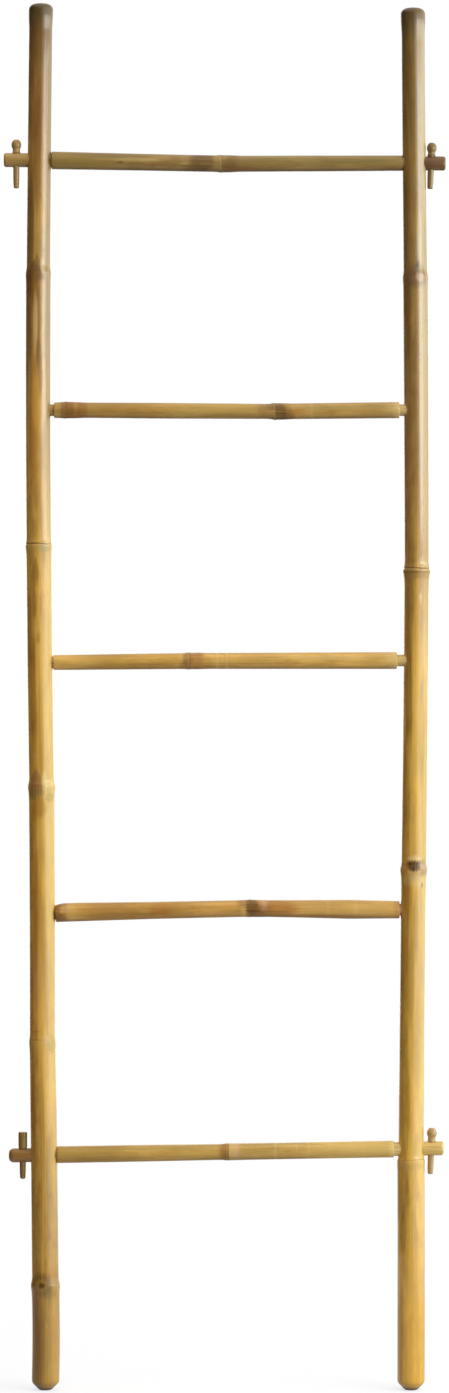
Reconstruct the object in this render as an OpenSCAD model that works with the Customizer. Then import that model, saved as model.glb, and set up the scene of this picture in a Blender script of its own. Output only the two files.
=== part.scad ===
// Towel ladder of varnished bamboo: two culm stiles, five cane rungs and four draw pegs.
// Millimetres, upright, front towards -Y, origin under the middle of the ladder on the floor.
// The top and bottom rungs pass through both stiles and are locked outside them by upright pegs.
// The three rungs between them have round tenons in blind sockets, and are free to turn there.

/* [Stiles] */
// Height of the left stile, which is the height of the ladder
left_stile_h = 1600; // [1560:1:1800]
// Height of the right stile, cut a little shorter
right_stile_h = 1595; // [1560:1:1800]
// Distance between the two stiles, centre to centre
stile_spacing = 429; // [380:1:600]
// Thickness of the bamboo wall of a stile
culm_wall = 4.5; // [3.5:0.1:6]
// Thickness of the closed partition that a culm has inside each of its nodes
partition_t = 4; // [2:0.5:6]
// Thickness of the solid wood that closes a stile at its foot and at its top
end_t = 12; // [8:1:20]
// Rounding of a stile's top edge
top_round = 7; // [3:0.5:9]
// Diameter of the flat face that a stile stands on
foot_flat_d = 14; // [8:1:20]
// Height of the worn bevel round a stile's foot
foot_bevel_h = 11; // [6:0.5:14]

/* [Rungs] */
// Height of the top rung's tenon line, at the middle of the ladder
top_rung_z = 1418; // [1390:0.5:1480]
// Height of the upper rung's tenon line
upper_rung_z = 1131; // [1080:0.5:1180]
// Height of the middle rung's tenon line
middle_rung_z = 840.8; // [790:0.1:890]
// Height of the lower rung's tenon line
lower_rung_z = 552.5; // [500:0.1:565]
// Height of the bottom rung's tenon line
bottom_rung_z = 274.5; // [274:0.5:320]
// Diameter of the long tenons that pass through the stiles
through_tenon_d = 16.4; // [13:0.1:17]
// Diameter of the short tenons of the three rungs between
socket_tenon_d = 13.6; // [10:0.1:15]
// Depth of a short tenon in its stile, from the stile's inner side
socket_tenon_depth = 16; // [10:0.5:20]
// Length of the top rung's tenon outside the left stile
top_left_reach = 27.2; // [24:0.1:40]
// Length of the top rung's tenon outside the right stile
top_right_reach = 22.2; // [18:0.1:40]
// Length of the bottom rung's tenon outside the left stile
bottom_left_reach = 25; // [20:0.1:40]
// Length of the bottom rung's tenon outside the right stile
bottom_right_reach = 22.5; // [18:0.1:40]

/* [Pegs] */
// Diameter of a peg where it passes through a tenon
peg_d = 7.4; // [5:0.1:8]
// Diameter of a peg at its lower tip
peg_tip_d = 6.4; // [4:0.1:7]
// Diameter of a carved ball head
ball_head_d = 11.6; // [10:0.1:14]
// Height of a carved ball head
ball_head_h = 15; // [11:0.5:18]
// Diameter of the plain straight head
plain_head_d = 10.4; // [9:0.1:14]
// Height of the plain straight head
plain_head_h = 18.5; // [9:0.5:22]
// Length of the top left peg below its tenon
top_left_tail = 24.5; // [12:0.5:40]
// Length of the top right peg below its tenon
top_right_tail = 21.5; // [12:0.5:40]
// Length of the bottom left peg below its tenon
bottom_left_tail = 19; // [12:0.5:40]
// Length of the bottom right peg below its tenon
bottom_right_tail = 21.5; // [12:0.5:40]

/* [Fits] */
// Gap between a tenon and its bore, and between a peg and its hole, on the radius
running_fit = 0.05; // [0.02:0.01:0.1]
// Gap between a rung's shoulder and the stile that it stands against
shoulder_gap = 0.3; // [0.2:0.1:2]
// Gap between a peg's head and the top of the tenon that carries it
seat_gap = 0.2; // [0.1:0.1:1]

/* [Hidden] */
$fn = 64;

olive_bamboo = [0.62, 0.48, 0.26];
golden_bamboo = [0.80, 0.62, 0.32];
cane = [0.71, 0.55, 0.28];
peg_wood = [0.58, 0.43, 0.24];

// A culm, from its foot to its top: height of each joint, how far its centre lies right of the
// stile's nominal line, and the diameters just below, on and just above the joint's ridge
left_culm = [
    [0, 7.4, 32, 32, 32],
    [123, 7.4, 31.8, 34, 31],
    [403.7, 4.1, 30.4, 31.6, 29.8],
    [698.2, 3.1, 30.2, 32.5, 29.3],
    [976.6, -0.1, 29.4, 31.4, 29],
    [1290.7, -0.7, 29, 30, 27.8],
    [left_stile_h, 2.4, 27.4, 28.4, 27.4],
];
right_culm = [
    [0, 0.7, 31.8, 31.8, 31.8],
    [266.2, 0.7, 32, 32.6, 29.4],
    [602.3, 3.7, 29.2, 32.2, 29.2],
    [948.3, 7.1, 28.6, 32, 28.4],
    [1286.1, 5.6, 29.1, 30.2, 27.8],
    [right_stile_h, 2.9, 27.5, 28.8, 27.5],
];

// How far a joint's ridge runs down and up from its scar, where it is widest, and the scar's cut
ridge_down = 16;
ridge_up = 7;
ridge_crest = 4;
scar_w = 1.6;
scar_depth = 1;
// How far a ridge's edges start under the surface, so that it rises out of the cane
ridge_sink = 0.8;
// How far the ends of two lengths of culm stay short of the joint's middle, inside its ridge
length_setback = 1;
// Length of the swelling under a stile's top
top_swell = 30;
// How far the foot's bevel eases into the stile, and how steep it is under that
foot_ease = 2.8;
foot_slope = 0.95;

// How a rung stands: its tenon line's height at the middle, the rise of that line from the left
// stile to the right one, and how far the line comes forward there
top_stand = [top_rung_z, -3.4, 0];
upper_stand = [upper_rung_z, 0, 2.5];
middle_stand = [middle_rung_z, 2.5, 2.5];
lower_stand = [lower_rung_z, 3.4, 0];
bottom_stand = [bottom_rung_z, 7.2, 0];

// The joints of a rung: distance from the left stile's nominal line, height over the tenon
// line, and diameter of the ridge
top_joints = [[211.5, -2.4, 20.6]];
upper_joints = [[32.5, 0.2, 19.8], [273.5, -1.5, 20]];
middle_joints = [[174.5, 0.9, 20]];
lower_joints = [[244.5, 3, 20.6]];
bottom_joints = [[218.5, -0.1, 20]];

// Diameters along each length of a rung, at even steps from one joint to the next
top_girths = [[20.6, 19.6, 19.2], [18.8, 18.5, 17.9]];
upper_girths = [[18.2, 19], [17.9, 18.4, 17.6], [18.2, 19]];
middle_girths = [[17.5, 18.2, 18.7], [18.7, 19.2, 19.8]];
lower_girths = [[22.4, 19.9, 19.7], [19.4, 20.4, 22.2, 20.2]];
bottom_girths = [[19.6, 19.4, 18.4], [19.4, 19.2, 19.6]];

// Bare tenon that shows between each stile and the rung's shoulder: left, right
top_bare = [0, 0];
upper_bare = [3, 4.5];
middle_bare = [0.4, 7];
lower_bare = [0, 1];
bottom_bare = [0, 5];

// Rounding of a rung's carved shoulder, and how deep a tenon's core runs into its rung
shoulder_round = 3;
core_l = 24;
// Rounding of the tenons' free ends: sawn and eased, fully rounded, and inside a socket
tenon_end_round = 2.5;
worn_end_round = 5.5;
socket_end_round = 1;
// Half the length of the ridge round a rung's joint, its flat crest and its scar
rung_ridge = 5;
rung_crest = 1.5;
rung_scar = 0.4;

// How far a bore's cutter stands out past the stile, and the room under a short tenon
bore_overrun = 30;
socket_floor_gap = 1;

// Clear distance between each peg's head and the stile's outer side
top_left_peg_gap = 7.1;
top_right_peg_gap = 0.6;
bottom_left_peg_gap = 3.8;
bottom_right_peg_gap = 3.4;
// Lean of each peg, to the right at its head
top_left_lean = 0;
top_right_lean = 2.5;
bottom_left_lean = 0;
bottom_right_lean = 2.2;
// How far a peg's head stands out round its shank, where it sits on the tenon
head_base = 1.2;
// Rounding of a peg's lower tip
tip_round = 2;
// Height of a head's waist, depth of the ball's widest place under its crown, and rounding of
// the plain head
waist_h = 2.5;
ball_drop = 6;
plain_round = 1.6;

// Places its children so that +Z runs from point a to point b
module along(a, b) {
    d = b - a;
    translate(a)
        rotate([0, acos(d[2] / norm(d)), atan2(d[1], d[0])])
            children();
}

// Turned solid from a list of [radius, height]
module turned(outline) {
    last = outline[len(outline) - 1];
    rotate_extrude()
        polygon(concat([[0, outline[0][1]]], outline, [[0, last[1]]]));
}

// Points on a round edge of radius r about centre c, from angle a0 to a1
function round_edge(c, r, a0, a1) = [
    for (i = [0 : 6]) c + r * [cos(a0 + (a1 - a0) * i / 6), sin(a0 + (a1 - a0) * i / 6)]
];

// Radii at even steps over a length
function even_outline(diameters, length) = [
    for (i = [0 : len(diameters) - 1]) [diameters[i] / 2, length * i / (len(diameters) - 1)]
];

function side_x(side) = side * stile_spacing / 2;
function joint_point(culm, side, i) = [side_x(side) + culm[i][1], 0, culm[i][0]];
function culm_x(culm, side, z) = side_x(side) + lookup(z, [for (n = culm) [n[0], n[1]]]);
function culm_r(culm, z) = lookup(z, concat(
    [for (n = culm) [n[0] - 0.01, n[2] / 2]],
    [for (n = culm) [n[0] + 0.01, n[4] / 2]]
));

// A rung's tenon line meets the two stiles' centre planes here
function left_point(stand) = [side_x(-1), 0, stand[0] - stand[1] / 2];
function right_point(stand) = [side_x(1), -stand[2], stand[0] + stand[1] / 2];

// Inner and outer sides of each stile, where a rung meets it, as distances from the middle
function left_inner(stand) = let (z = left_point(stand)[2])
    culm_x(left_culm, -1, z) + culm_r(left_culm, z);
function left_outer(stand) = let (z = left_point(stand)[2])
    culm_x(left_culm, -1, z) - culm_r(left_culm, z);
function right_inner(stand) = let (z = right_point(stand)[2])
    culm_x(right_culm, 1, z) - culm_r(right_culm, z);
function right_outer(stand) = let (z = right_point(stand)[2])
    culm_x(right_culm, 1, z) + culm_r(right_culm, z);

// Point of a rung's tenon line at distance x from the middle, plus a height over the line
function on_line(stand, x, over = 0) =
    let (a = left_point(stand), b = right_point(stand), t = (x - a[0]) / (b[0] - a[0]))
    a + t * (b - a) + [0, 0, over];

// Foot's outline up to its full radius
function foot_outline(r) = [
    [foot_flat_d / 2, 0],
    [r - foot_ease, (r - foot_ease - foot_flat_d / 2) * foot_slope],
    [r - foot_ease / 4, foot_bevel_h - foot_ease],
    [r, foot_bevel_h],
];

// Top's outline, from the start of its swelling to the crown
function top_outline(r, swell_r, length) = concat(
    [[r, length - top_swell], [swell_r, length - top_swell / 2]],
    round_edge([swell_r - top_round, length - top_round], top_round, 0, 90)
);

// One length of culm between joints i and i + 1
module culm_length(culm, side, i) {
    a = joint_point(culm, side, i);
    b = joint_point(culm, side, i + 1);
    span = norm(b - a);
    r0 = culm[i][4] / 2;
    r1 = culm[i + 1][2] / 2;
    foot = i == 0;
    top = i == len(culm) - 2;
    along(a, b)
        turned(concat(
            foot ? foot_outline(r0) : [[r0, -length_setback]],
            top ? top_outline(r1, culm[i + 1][3] / 2, span) : [[r1, span - 2 * length_setback]]
        ));
}

// The hollow inside one length of culm
module culm_hollow(culm, side, i) {
    a = joint_point(culm, side, i);
    b = joint_point(culm, side, i + 1);
    span = norm(b - a);
    low = i == 0 ? end_t : partition_t / 2;
    high = span - (i == len(culm) - 2 ? end_t : partition_t / 2);
    along(a, b)
        turned([[culm[i][4] / 2 - culm_wall, low], [culm[i + 1][2] / 2 - culm_wall, high]]);
}

// The ridge and scar round one joint of a culm
module culm_joint(culm, side, i) {
    r_below = culm[i][2] / 2;
    r_ridge = culm[i][3] / 2;
    r_above = culm[i][4] / 2;
    translate(joint_point(culm, side, i))
        turned([
            [r_below - ridge_sink, -ridge_down],
            [r_ridge, -ridge_crest],
            [r_ridge, -scar_w],
            [r_ridge - scar_depth, -scar_w / 4],
            [r_ridge - scar_depth, scar_w / 4],
            [r_above - ridge_sink, ridge_up],
        ]);
}

// A whole stile, hollow between its joints, before it is bored
module culm_solid(culm, side) {
    difference() {
        union() {
            for (i = [0 : len(culm) - 2])
                culm_length(culm, side, i);
            for (i = [1 : len(culm) - 2])
                culm_joint(culm, side, i);
        }
        for (i = [0 : len(culm) - 2])
            culm_hollow(culm, side, i);
    }
}

// Bore right through a stile for a long tenon
module through_bore(stand, x) {
    along(on_line(stand, x - bore_overrun), on_line(stand, x + bore_overrun))
        cylinder(d = through_tenon_d + 2 * running_fit, h = 2 * bore_overrun);
}

// Blind bore from a stile's inner side, for a short tenon
module socket_bore(stand, mouth, inward) {
    start = on_line(stand, mouth - bore_overrun * inward);
    floor = on_line(stand, mouth + (socket_tenon_depth + socket_floor_gap) * inward);
    along(start, floor)
        cylinder(d = socket_tenon_d + 2 * running_fit, h = norm(floor - start));
}

module left_stile() {
    color(olive_bamboo)
        difference() {
            culm_solid(left_culm, -1);
            for (stand = [top_stand, bottom_stand])
                through_bore(stand, side_x(-1));
            for (stand = [upper_stand, middle_stand, lower_stand])
                socket_bore(stand, left_inner(stand), -1);
        }
}

module right_stile() {
    color(golden_bamboo)
        difference() {
            culm_solid(right_culm, 1);
            for (stand = [top_stand, bottom_stand])
                through_bore(stand, side_x(1));
            for (stand = [upper_stand, middle_stand, lower_stand])
                socket_bore(stand, right_inner(stand), 1);
        }
}

// The cane of a rung between its two shoulders, with its joints
module rung_cane(stand, joints, girths, bare) {
    left_end = left_inner(stand) + shoulder_gap + bare[0];
    right_end = right_inner(stand) - shoulder_gap - bare[1];
    points = concat(
        [on_line(stand, left_end)],
        [for (j = joints) on_line(stand, side_x(-1) + j[0], j[1])],
        [on_line(stand, right_end)]
    );
    for (i = [0 : len(girths) - 1]) {
        span = norm(points[i + 1] - points[i]);
        first = i == 0;
        last = i == len(girths) - 1;
        r0 = girths[i][0] / 2;
        r1 = girths[i][len(girths[i]) - 1] / 2;
        middle = [
            for (p = even_outline(girths[i], span))
                if (p[1] > 0 && p[1] < span) p
        ];
        along(points[i], points[i + 1])
            turned(concat(
                first
                    ? round_edge([r0 - shoulder_round, shoulder_round], shoulder_round, -90, 0)
                    : [[r0, -length_setback / 2]],
                middle,
                last
                    ? round_edge([r1 - shoulder_round, span - shoulder_round], shoulder_round, 0, 90)
                    : [[r1, span - length_setback]]
            ));
    }
    for (i = [0 : len(joints) - 1]) {
        r_before = girths[i][len(girths[i]) - 1] / 2;
        r_after = girths[i + 1][0] / 2;
        r_ridge = joints[i][2] / 2;
        along(points[i + 1], points[i + 1] + points[len(points) - 1] - points[0])
            turned([
                [r_before - ridge_sink, -rung_ridge],
                [r_ridge, -rung_crest],
                [r_ridge, 0],
                [r_ridge - rung_scar, rung_scar],
                [r_ridge - rung_scar, rung_crest],
                [r_after - ridge_sink, rung_ridge],
            ]);
    }
}

// A round tenon from x, inside the rung, out to its free end
module tenon(stand, from_x, to_x, d, end_round) {
    a = on_line(stand, from_x);
    b = on_line(stand, to_x);
    span = norm(b - a);
    along(a, b)
        turned(concat(
            [[d / 2, 0]],
            round_edge([d / 2 - end_round, span - end_round], end_round, 0, 90)
        ));
}

// A rung between the keyed ones, with a short tenon at each end
module socket_rung(stand, joints, girths, bare) {
    left_face = left_inner(stand);
    right_face = right_inner(stand);
    rung_cane(stand, joints, girths, bare);
    tenon(stand, left_face + bare[0] + core_l, left_face - socket_tenon_depth,
        socket_tenon_d, socket_end_round);
    tenon(stand, right_face - bare[1] - core_l, right_face + socket_tenon_depth,
        socket_tenon_d, socket_end_round);
}

// Upright frame of a peg's hole, on the tenon line
module at_peg(stand, x, lean) {
    translate(on_line(stand, x))
        rotate([0, lean, 0])
            children();
}

module peg_hole(stand, x, lean) {
    at_peg(stand, x, lean)
        translate([0, 0, -through_tenon_d])
            cylinder(d = peg_d + 2 * running_fit, h = 2 * through_tenon_d);
}

// Where each peg crosses its tenon line. A leaning peg's head stands out over the line, so the
// peg's foot is that much nearer to the stile.
function left_peg_x(stand, gap, head_d) = left_outer(stand) - gap - head_d / 2;
function right_peg_x(stand, gap, lean) =
    let (head_over = through_tenon_d / 2 + ball_head_h - ball_drop)
    right_outer(stand) + gap + ball_head_d / 2 - head_over * tan(lean);

top_left_peg_x = left_peg_x(top_stand, top_left_peg_gap, ball_head_d);
top_right_peg_x = right_peg_x(top_stand, top_right_peg_gap, top_right_lean);
bottom_left_peg_x = left_peg_x(bottom_stand, bottom_left_peg_gap, plain_head_d);
bottom_right_peg_x = right_peg_x(bottom_stand, bottom_right_peg_gap, bottom_right_lean);

module top_rung() {
    color(cane)
        difference() {
            union() {
                rung_cane(top_stand, top_joints, top_girths, top_bare);
                tenon(top_stand, left_inner(top_stand) + core_l,
                    left_outer(top_stand) - top_left_reach, through_tenon_d, tenon_end_round);
                tenon(top_stand, right_inner(top_stand) - core_l,
                    right_outer(top_stand) + top_right_reach, through_tenon_d, tenon_end_round);
            }
            peg_hole(top_stand, top_left_peg_x, top_left_lean);
            peg_hole(top_stand, top_right_peg_x, top_right_lean);
        }
}

module bottom_rung() {
    color(cane)
        difference() {
            union() {
                rung_cane(bottom_stand, bottom_joints, bottom_girths, bottom_bare);
                tenon(bottom_stand, left_inner(bottom_stand) + core_l,
                    left_outer(bottom_stand) - bottom_left_reach, through_tenon_d, worn_end_round);
                tenon(bottom_stand, right_inner(bottom_stand) - bottom_bare[1] - core_l,
                    right_outer(bottom_stand) + bottom_right_reach,
                    through_tenon_d, tenon_end_round);
            }
            peg_hole(bottom_stand, bottom_left_peg_x, bottom_left_lean);
            peg_hole(bottom_stand, bottom_right_peg_x, bottom_right_lean);
        }
}

module upper_rung() {
    color(cane)
        socket_rung(upper_stand, upper_joints, upper_girths, upper_bare);
}

module middle_rung() {
    color(cane)
        socket_rung(middle_stand, middle_joints, middle_girths, middle_bare);
}

module lower_rung() {
    color(cane)
        socket_rung(lower_stand, lower_joints, lower_girths, lower_bare);
}

// How high a peg's head starts, so that it clears the tenon when the two aren't quite square
function seat_height(stand, lean) =
    let (slope = atan(stand[1] / stile_spacing))
    through_tenon_d / 2 + seat_gap + (peg_d / 2 + head_base) * tan(abs(lean + slope));

// A peg with its head on top of its tenon and a tapered tail under it
module peg(stand, x, lean, tail, head) {
    seat = seat_height(stand, lean);
    color(peg_wood)
        at_peg(stand, x, lean)
            turned(concat(
                round_edge([peg_tip_d / 2 - tip_round, tip_round - through_tenon_d / 2 - tail],
                    tip_round, -90, 0),
                [[peg_d / 2, -through_tenon_d / 2], [peg_d / 2, seat]],
                [for (p = head) [p[0], seat + p[1]]]
            ));
}

// Outlines of the heads over their seat: a waist with a ball on it, and a plain straight stub
ball_head = concat(
    [[peg_d / 2 + head_base, 0], [peg_d / 2 + head_base / 2, waist_h]],
    [for (a = [-40 : 20 : 60])
        [ball_head_d / 2 - ball_drop * (1 - cos(a)), ball_head_h - ball_drop * (1 - sin(a) / sin(60))]]
);
plain_head = concat(
    [[peg_d / 2 + head_base, 0], [plain_head_d / 2, waist_h]],
    round_edge([plain_head_d / 2 - plain_round, plain_head_h - plain_round], plain_round, 0, 90)
);

module peg_top_left() {
    peg(top_stand, top_left_peg_x, top_left_lean, top_left_tail, ball_head);
}

module peg_top_right() {
    peg(top_stand, top_right_peg_x, top_right_lean, top_right_tail, ball_head);
}

module peg_bottom_left() {
    peg(bottom_stand, bottom_left_peg_x, bottom_left_lean, bottom_left_tail, plain_head);
}

module peg_bottom_right() {
    peg(bottom_stand, bottom_right_peg_x, bottom_right_lean, bottom_right_tail, ball_head);
}

left_stile();
right_stile();
top_rung();
upper_rung();
middle_rung();
lower_rung();
bottom_rung();
peg_top_left();
peg_top_right();
peg_bottom_left();
peg_bottom_right();
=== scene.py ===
import math

import bmesh
import bpy
import numpy as np
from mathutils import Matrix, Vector


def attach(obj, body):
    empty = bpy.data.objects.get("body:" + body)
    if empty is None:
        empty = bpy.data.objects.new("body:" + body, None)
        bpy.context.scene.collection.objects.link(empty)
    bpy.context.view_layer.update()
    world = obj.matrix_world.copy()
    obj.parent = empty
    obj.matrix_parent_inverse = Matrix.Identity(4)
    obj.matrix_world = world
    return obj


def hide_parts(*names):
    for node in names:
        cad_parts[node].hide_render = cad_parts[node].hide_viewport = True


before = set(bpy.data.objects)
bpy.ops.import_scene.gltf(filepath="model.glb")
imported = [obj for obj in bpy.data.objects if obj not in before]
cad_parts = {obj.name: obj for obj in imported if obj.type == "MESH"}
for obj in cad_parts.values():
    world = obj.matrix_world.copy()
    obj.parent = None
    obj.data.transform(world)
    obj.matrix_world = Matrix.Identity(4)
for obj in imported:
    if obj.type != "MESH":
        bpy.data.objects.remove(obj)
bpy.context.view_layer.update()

# The two stiles are whole bamboo culms with the skin left on, sawn off just over a joint so that
# the joint's own wall closes the end, rounded at the top and bevelled at the foot. Their surface
# keeps what grew there: a scar line round each joint, the swelling below it, and the dormant buds.
mm = 0.001
full_height, stile_spacing = 1600, 429
stile_x = {"left": -stile_spacing / 2, "right": stile_spacing / 2}
# Foot, joints and top: height, shift to the right, diameter just below, on and just above the ridge
culm_joints = {
    "left": np.array([
        [0, 7.4, 32, 32, 32],
        [123, 7.4, 31.8, 34, 31],
        [403.7, 4.1, 30.4, 31.6, 29.8],
        [698.2, 3.1, 30.2, 32.5, 29.3],
        [976.6, -0.1, 29.4, 31.4, 29],
        [1290.7, -0.7, 29, 30, 27.8],
        [full_height, 2.4, 27.4, 28.4, 27.4],
    ]),
    "right": np.array([
        [0, 0.7, 31.8, 31.8, 31.8],
        [266.2, 0.7, 32, 32.6, 29.4],
        [602.3, 3.7, 29.2, 32.2, 29.2],
        [948.3, 7.1, 28.6, 32, 28.4],
        [1286.1, 5.6, 29.1, 30.2, 27.8],
        [1595, 2.9, 27.5, 28.8, 27.5],
    ]),
}
# How far each length bows to the right between its joints, from the foot up
culm_bows = {"left": [0.9, 0.2, 0.3, -0.3, -0.6, -0.2], "right": [0.2, -0.2, 0.3, 0.2, -0.2]}
# Each joint's bud, from the lowest up: degrees to the right of the front, the mound's height over
# the skin, its place over the scar line, half width and half length, then the pit's depth and place
culm_buds = {
    "left": [
        [-16, 0.35, 1, 8.5, 10, 0.8, 0.5, 1.7, 1.7], [172, 0.6, 3, 7, 9, 0.5, 4, 2.4, 2.0],
        [-20, 0.75, -1, 8, 13, 0.15, 4, 3, 3], [165, 0.6, 3, 7, 9, 0.5, 4, 2.4, 2.0],
        [-13, 0.85, 0, 10, 11, 0.1, 4, 3, 3],
    ],
    "right": [
        [188, 0.6, 3, 7, 9, 0.5, 4, 2.4, 2.0], [1, 0.35, 2, 10, 10, 1.0, 2.2, 7.0, 5.0],
        [176, 0.6, 3, 7, 9, 0.5, 4, 2.4, 2.0], [13, 0.6, 2, 7, 10, 0.15, 6, 2.5, 4],
    ],
}
# How deep and dark each scar line is, from the lowest joint up
scar_depths = {"left": [0.1, 0.08, 0.08, 0.62, 0.12], "right": [0.4, 0.02, 0.75, 0.12]}
# The ridge's outline: height over the scar line against the share of the ridge's swelling
ridge_outline = np.array([
    [-30, 0], [-20, 0.08], [-12, 0.28], [-7, 0.62], [-4, 0.93], [-2.6, 1], [-1.2, 0.97],
    [0, 0.84], [1.5, 0.62], [3, 0.4], [5, 0.16], [7.5, 0],
])
# How far over and under a joint its scar line's wander and its bud still shape the skin, and how far
# the skin's slow unevenness sinks under its full girth
wander_reach, bud_reach, growth_room = 40, 38, 0.15


def eased(x, knots, values):
    """A smooth curve through the knots that never swings past them."""
    knots, values = np.asarray(knots, float), np.asarray(values, float)
    steps = np.diff(knots)
    rises = np.diff(values) / steps
    slopes = np.zeros(len(knots))
    both = rises[1:] * rises[:-1] > 0
    slopes[1:-1][both] = 2 * (rises[1:] * rises[:-1])[both] / (rises[1:] + rises[:-1])[both]
    k = np.clip(np.searchsorted(knots, x, side="right") - 1, 0, len(steps) - 1)
    t = np.clip((x - knots[k]) / steps[k], 0, 1)
    bend = steps[k] * t * (1 - t) * (slopes[k] * (1 - t) - slopes[k + 1] * t)
    return values[k] * (1 + 2 * t) * (1 - t) ** 2 + values[k + 1] * t * t * (3 - 2 * t) + bend


def waver(along, turn, seed):
    """The slow unevenness of a grown surface, between -1 and 1."""
    phases = np.random.default_rng(seed).uniform(0, 2 * math.pi, (4, 2))
    total = 0
    for (first, second), lobes, length in zip(phases, (1, 2, 2, 3), (310, 170, 95, 140)):
        wave = 2 * math.pi * along / length + second
        total = total + np.sin(lobes * turn + first + 0.7 * np.sin(wave)) * np.sin(wave)
    return total / 4


def wrapped(turn):
    """An angle brought to between minus and plus half a turn."""
    return (turn + math.pi) % (2 * math.pi) - math.pi


def culm_middle(side, height):
    """How far to the right a culm's middle line lies at a height."""
    joints, bows = culm_joints[side], culm_bows[side]
    shift = np.interp(height, joints[:, 0], joints[:, 1])
    length = np.clip(np.searchsorted(joints[:, 0], height, side="right") - 1, 0, len(bows) - 1)
    span = joints[length + 1, 0] - joints[length, 0]
    part = np.clip((height - joints[length, 0]) / span, 0, 1)
    return stile_x[side] + shift + np.asarray(bows)[length] * np.sin(math.pi * part)


def scar_wander(side, place, turn):
    """How far the scar line of one joint lies over its mean height: it wanders, and dips at the bud."""
    bud = math.radians(culm_buds[side][place][0])
    dip = np.exp(-((wrapped(turn - bud) / 0.42) ** 2))
    return 0.35 * np.sin(turn + 1.9 * place) + 0.2 * np.sin(2 * turn + place) - 0.9 * dip


def over_scar(side, height, turn):
    """Height over the nearest scar line, and which joint that is."""
    levels = culm_joints[side][1:-1, 0]
    nearest = np.abs(np.asarray(height)[..., None] - levels).argmin(-1)
    over = height - levels[nearest]
    wander = np.zeros(np.shape(over))
    for place in range(len(levels)):
        here = nearest == place
        wander[here] = scar_wander(side, place, turn[here])
    return over - wander * np.clip(1 - np.abs(over) / wander_reach, 0, 1), nearest


def plain_radius(side, height, step):
    """The culm's radius without its ridges, which changes at each joint within a small step."""
    joints = culm_joints[side]
    heights, girths = [joints[0, 0]], [joints[0, 4]]
    for joint in joints[1:-1]:
        heights += [joint[0] - step, joint[0] + step]
        girths += [joint[2], joint[4]]
    return np.interp(height, heights + [joints[-1, 0]], girths + [joints[-1, 2]]) / 2


def culm_radius(side, height, turn):
    """The skin's distance from the culm's middle line, with its ridges, buds and unevenness."""
    ridges = culm_joints[side][1:-1, 3] / 2
    plain = plain_radius(side, height, 1)
    over, nearest = over_scar(side, height, turn)
    swell = ridges[nearest] - plain
    depth = np.array(scar_depths[side])[nearest]
    cut = 0.7 * depth * np.exp(-((over / 0.75) ** 2))
    radius = plain + swell * (eased(over, *ridge_outline.T) - cut)
    turns, mound, lift, wide, tall, pit, pit_lift, pit_wide, pit_tall = np.array(culm_buds[side])[nearest].T
    off = wrapped(turn - np.radians(turns).T) * radius
    near = np.abs(over) < bud_reach
    narrowing = np.clip(1 - 0.45 * (over - lift.T) / tall.T, 0.35, 1.3)
    swollen = np.exp(-(np.hypot(off / (wide.T * narrowing), (over - lift.T) / tall.T) ** 3))
    # A shallow groove runs up from each bud, from 12 mm over the scar line, and fades out
    past = over - 12
    groove = np.exp(-((off / 5) ** 2)) * np.clip(past / 10, 0, 1) * np.exp(-np.clip(past, 0, None) / 26)
    hollow = np.hypot(off / pit_wide.T, (over - pit_lift.T) / pit_tall.T)
    sunk = pit.T * np.exp(-(hollow ** 4)) * np.clip(0.75 + 0.35 * (over - pit_lift.T) / pit_tall.T, 0.2, 1.1)
    radius = radius + near * (mound.T * swollen - sunk) - 0.45 * groove
    limit = np.where(near, ridges[nearest], plain)
    return np.minimum(radius, limit) - growth_room * (1 - waver(height, turn, len(side))) / 2


def placed(name, data):
    """A new object for a mesh, lamp or camera, linked into the scene."""
    thing = bpy.data.objects.new(name, data)
    bpy.context.scene.collection.objects.link(thing)
    return thing


def ring_solid(name, rings):
    """A closed mesh through rings of points, with a point at the middle of each end ring."""
    count, around = rings.shape[:2]
    ends = np.stack([rings[0].mean(0), rings[-1].mean(0)])
    points = np.concatenate([rings.reshape(-1, 3), ends])
    row, step = np.arange(count - 1)[:, None] * around, np.arange(around)
    after = (step + 1) % around
    sides = np.stack([row + step, row + after, row + after + around, row + step + around], -1)
    base = (count - 1) * around
    caps = [(count * around, after[i], i) for i in step]
    caps += [(count * around + 1, base + i, base + after[i]) for i in step]
    mesh = bpy.data.meshes.new(name)
    faces = sides.reshape(-1, 4).tolist() + [tuple(int(v) for v in cap) for cap in caps]
    mesh.from_pydata((points * mm).tolist(), [], faces)
    shape = bmesh.new()
    shape.from_mesh(mesh)
    bmesh.ops.recalc_face_normals(shape, faces=shape.faces)
    shape.to_mesh(mesh)
    shape.free()
    return placed(name, mesh)


def drill(start, end, radius, corners=48):
    """A round cutter from one point to another."""
    start, end = np.asarray(start, float), np.asarray(end, float)
    axis = (end - start) / np.linalg.norm(end - start)
    side = np.cross(axis, [0.0, 1, 0] if abs(axis[1]) < 0.9 else [1.0, 0, 0])
    side /= np.linalg.norm(side)
    other = np.cross(axis, side)
    turn = np.arange(corners) * 2 * math.pi / corners
    circle = radius * (np.cos(turn)[:, None] * side + np.sin(turn)[:, None] * other)
    return ring_solid("drill", np.stack([start + circle, end + circle]))


def bore(piece, drills):
    """Cuts the drills' holes out of the piece."""
    for cutter in drills:
        cut = piece.modifiers.new("bore", "BOOLEAN")
        cut.object, cut.operation, cut.solver = cutter, "DIFFERENCE", "EXACT"
    view = bpy.context.evaluated_depsgraph_get()
    mesh = bpy.data.meshes.new_from_object(piece.evaluated_get(view))
    piece.modifiers.clear()
    piece.data = mesh
    for cutter in drills:
        bpy.data.objects.remove(cutter)


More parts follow.
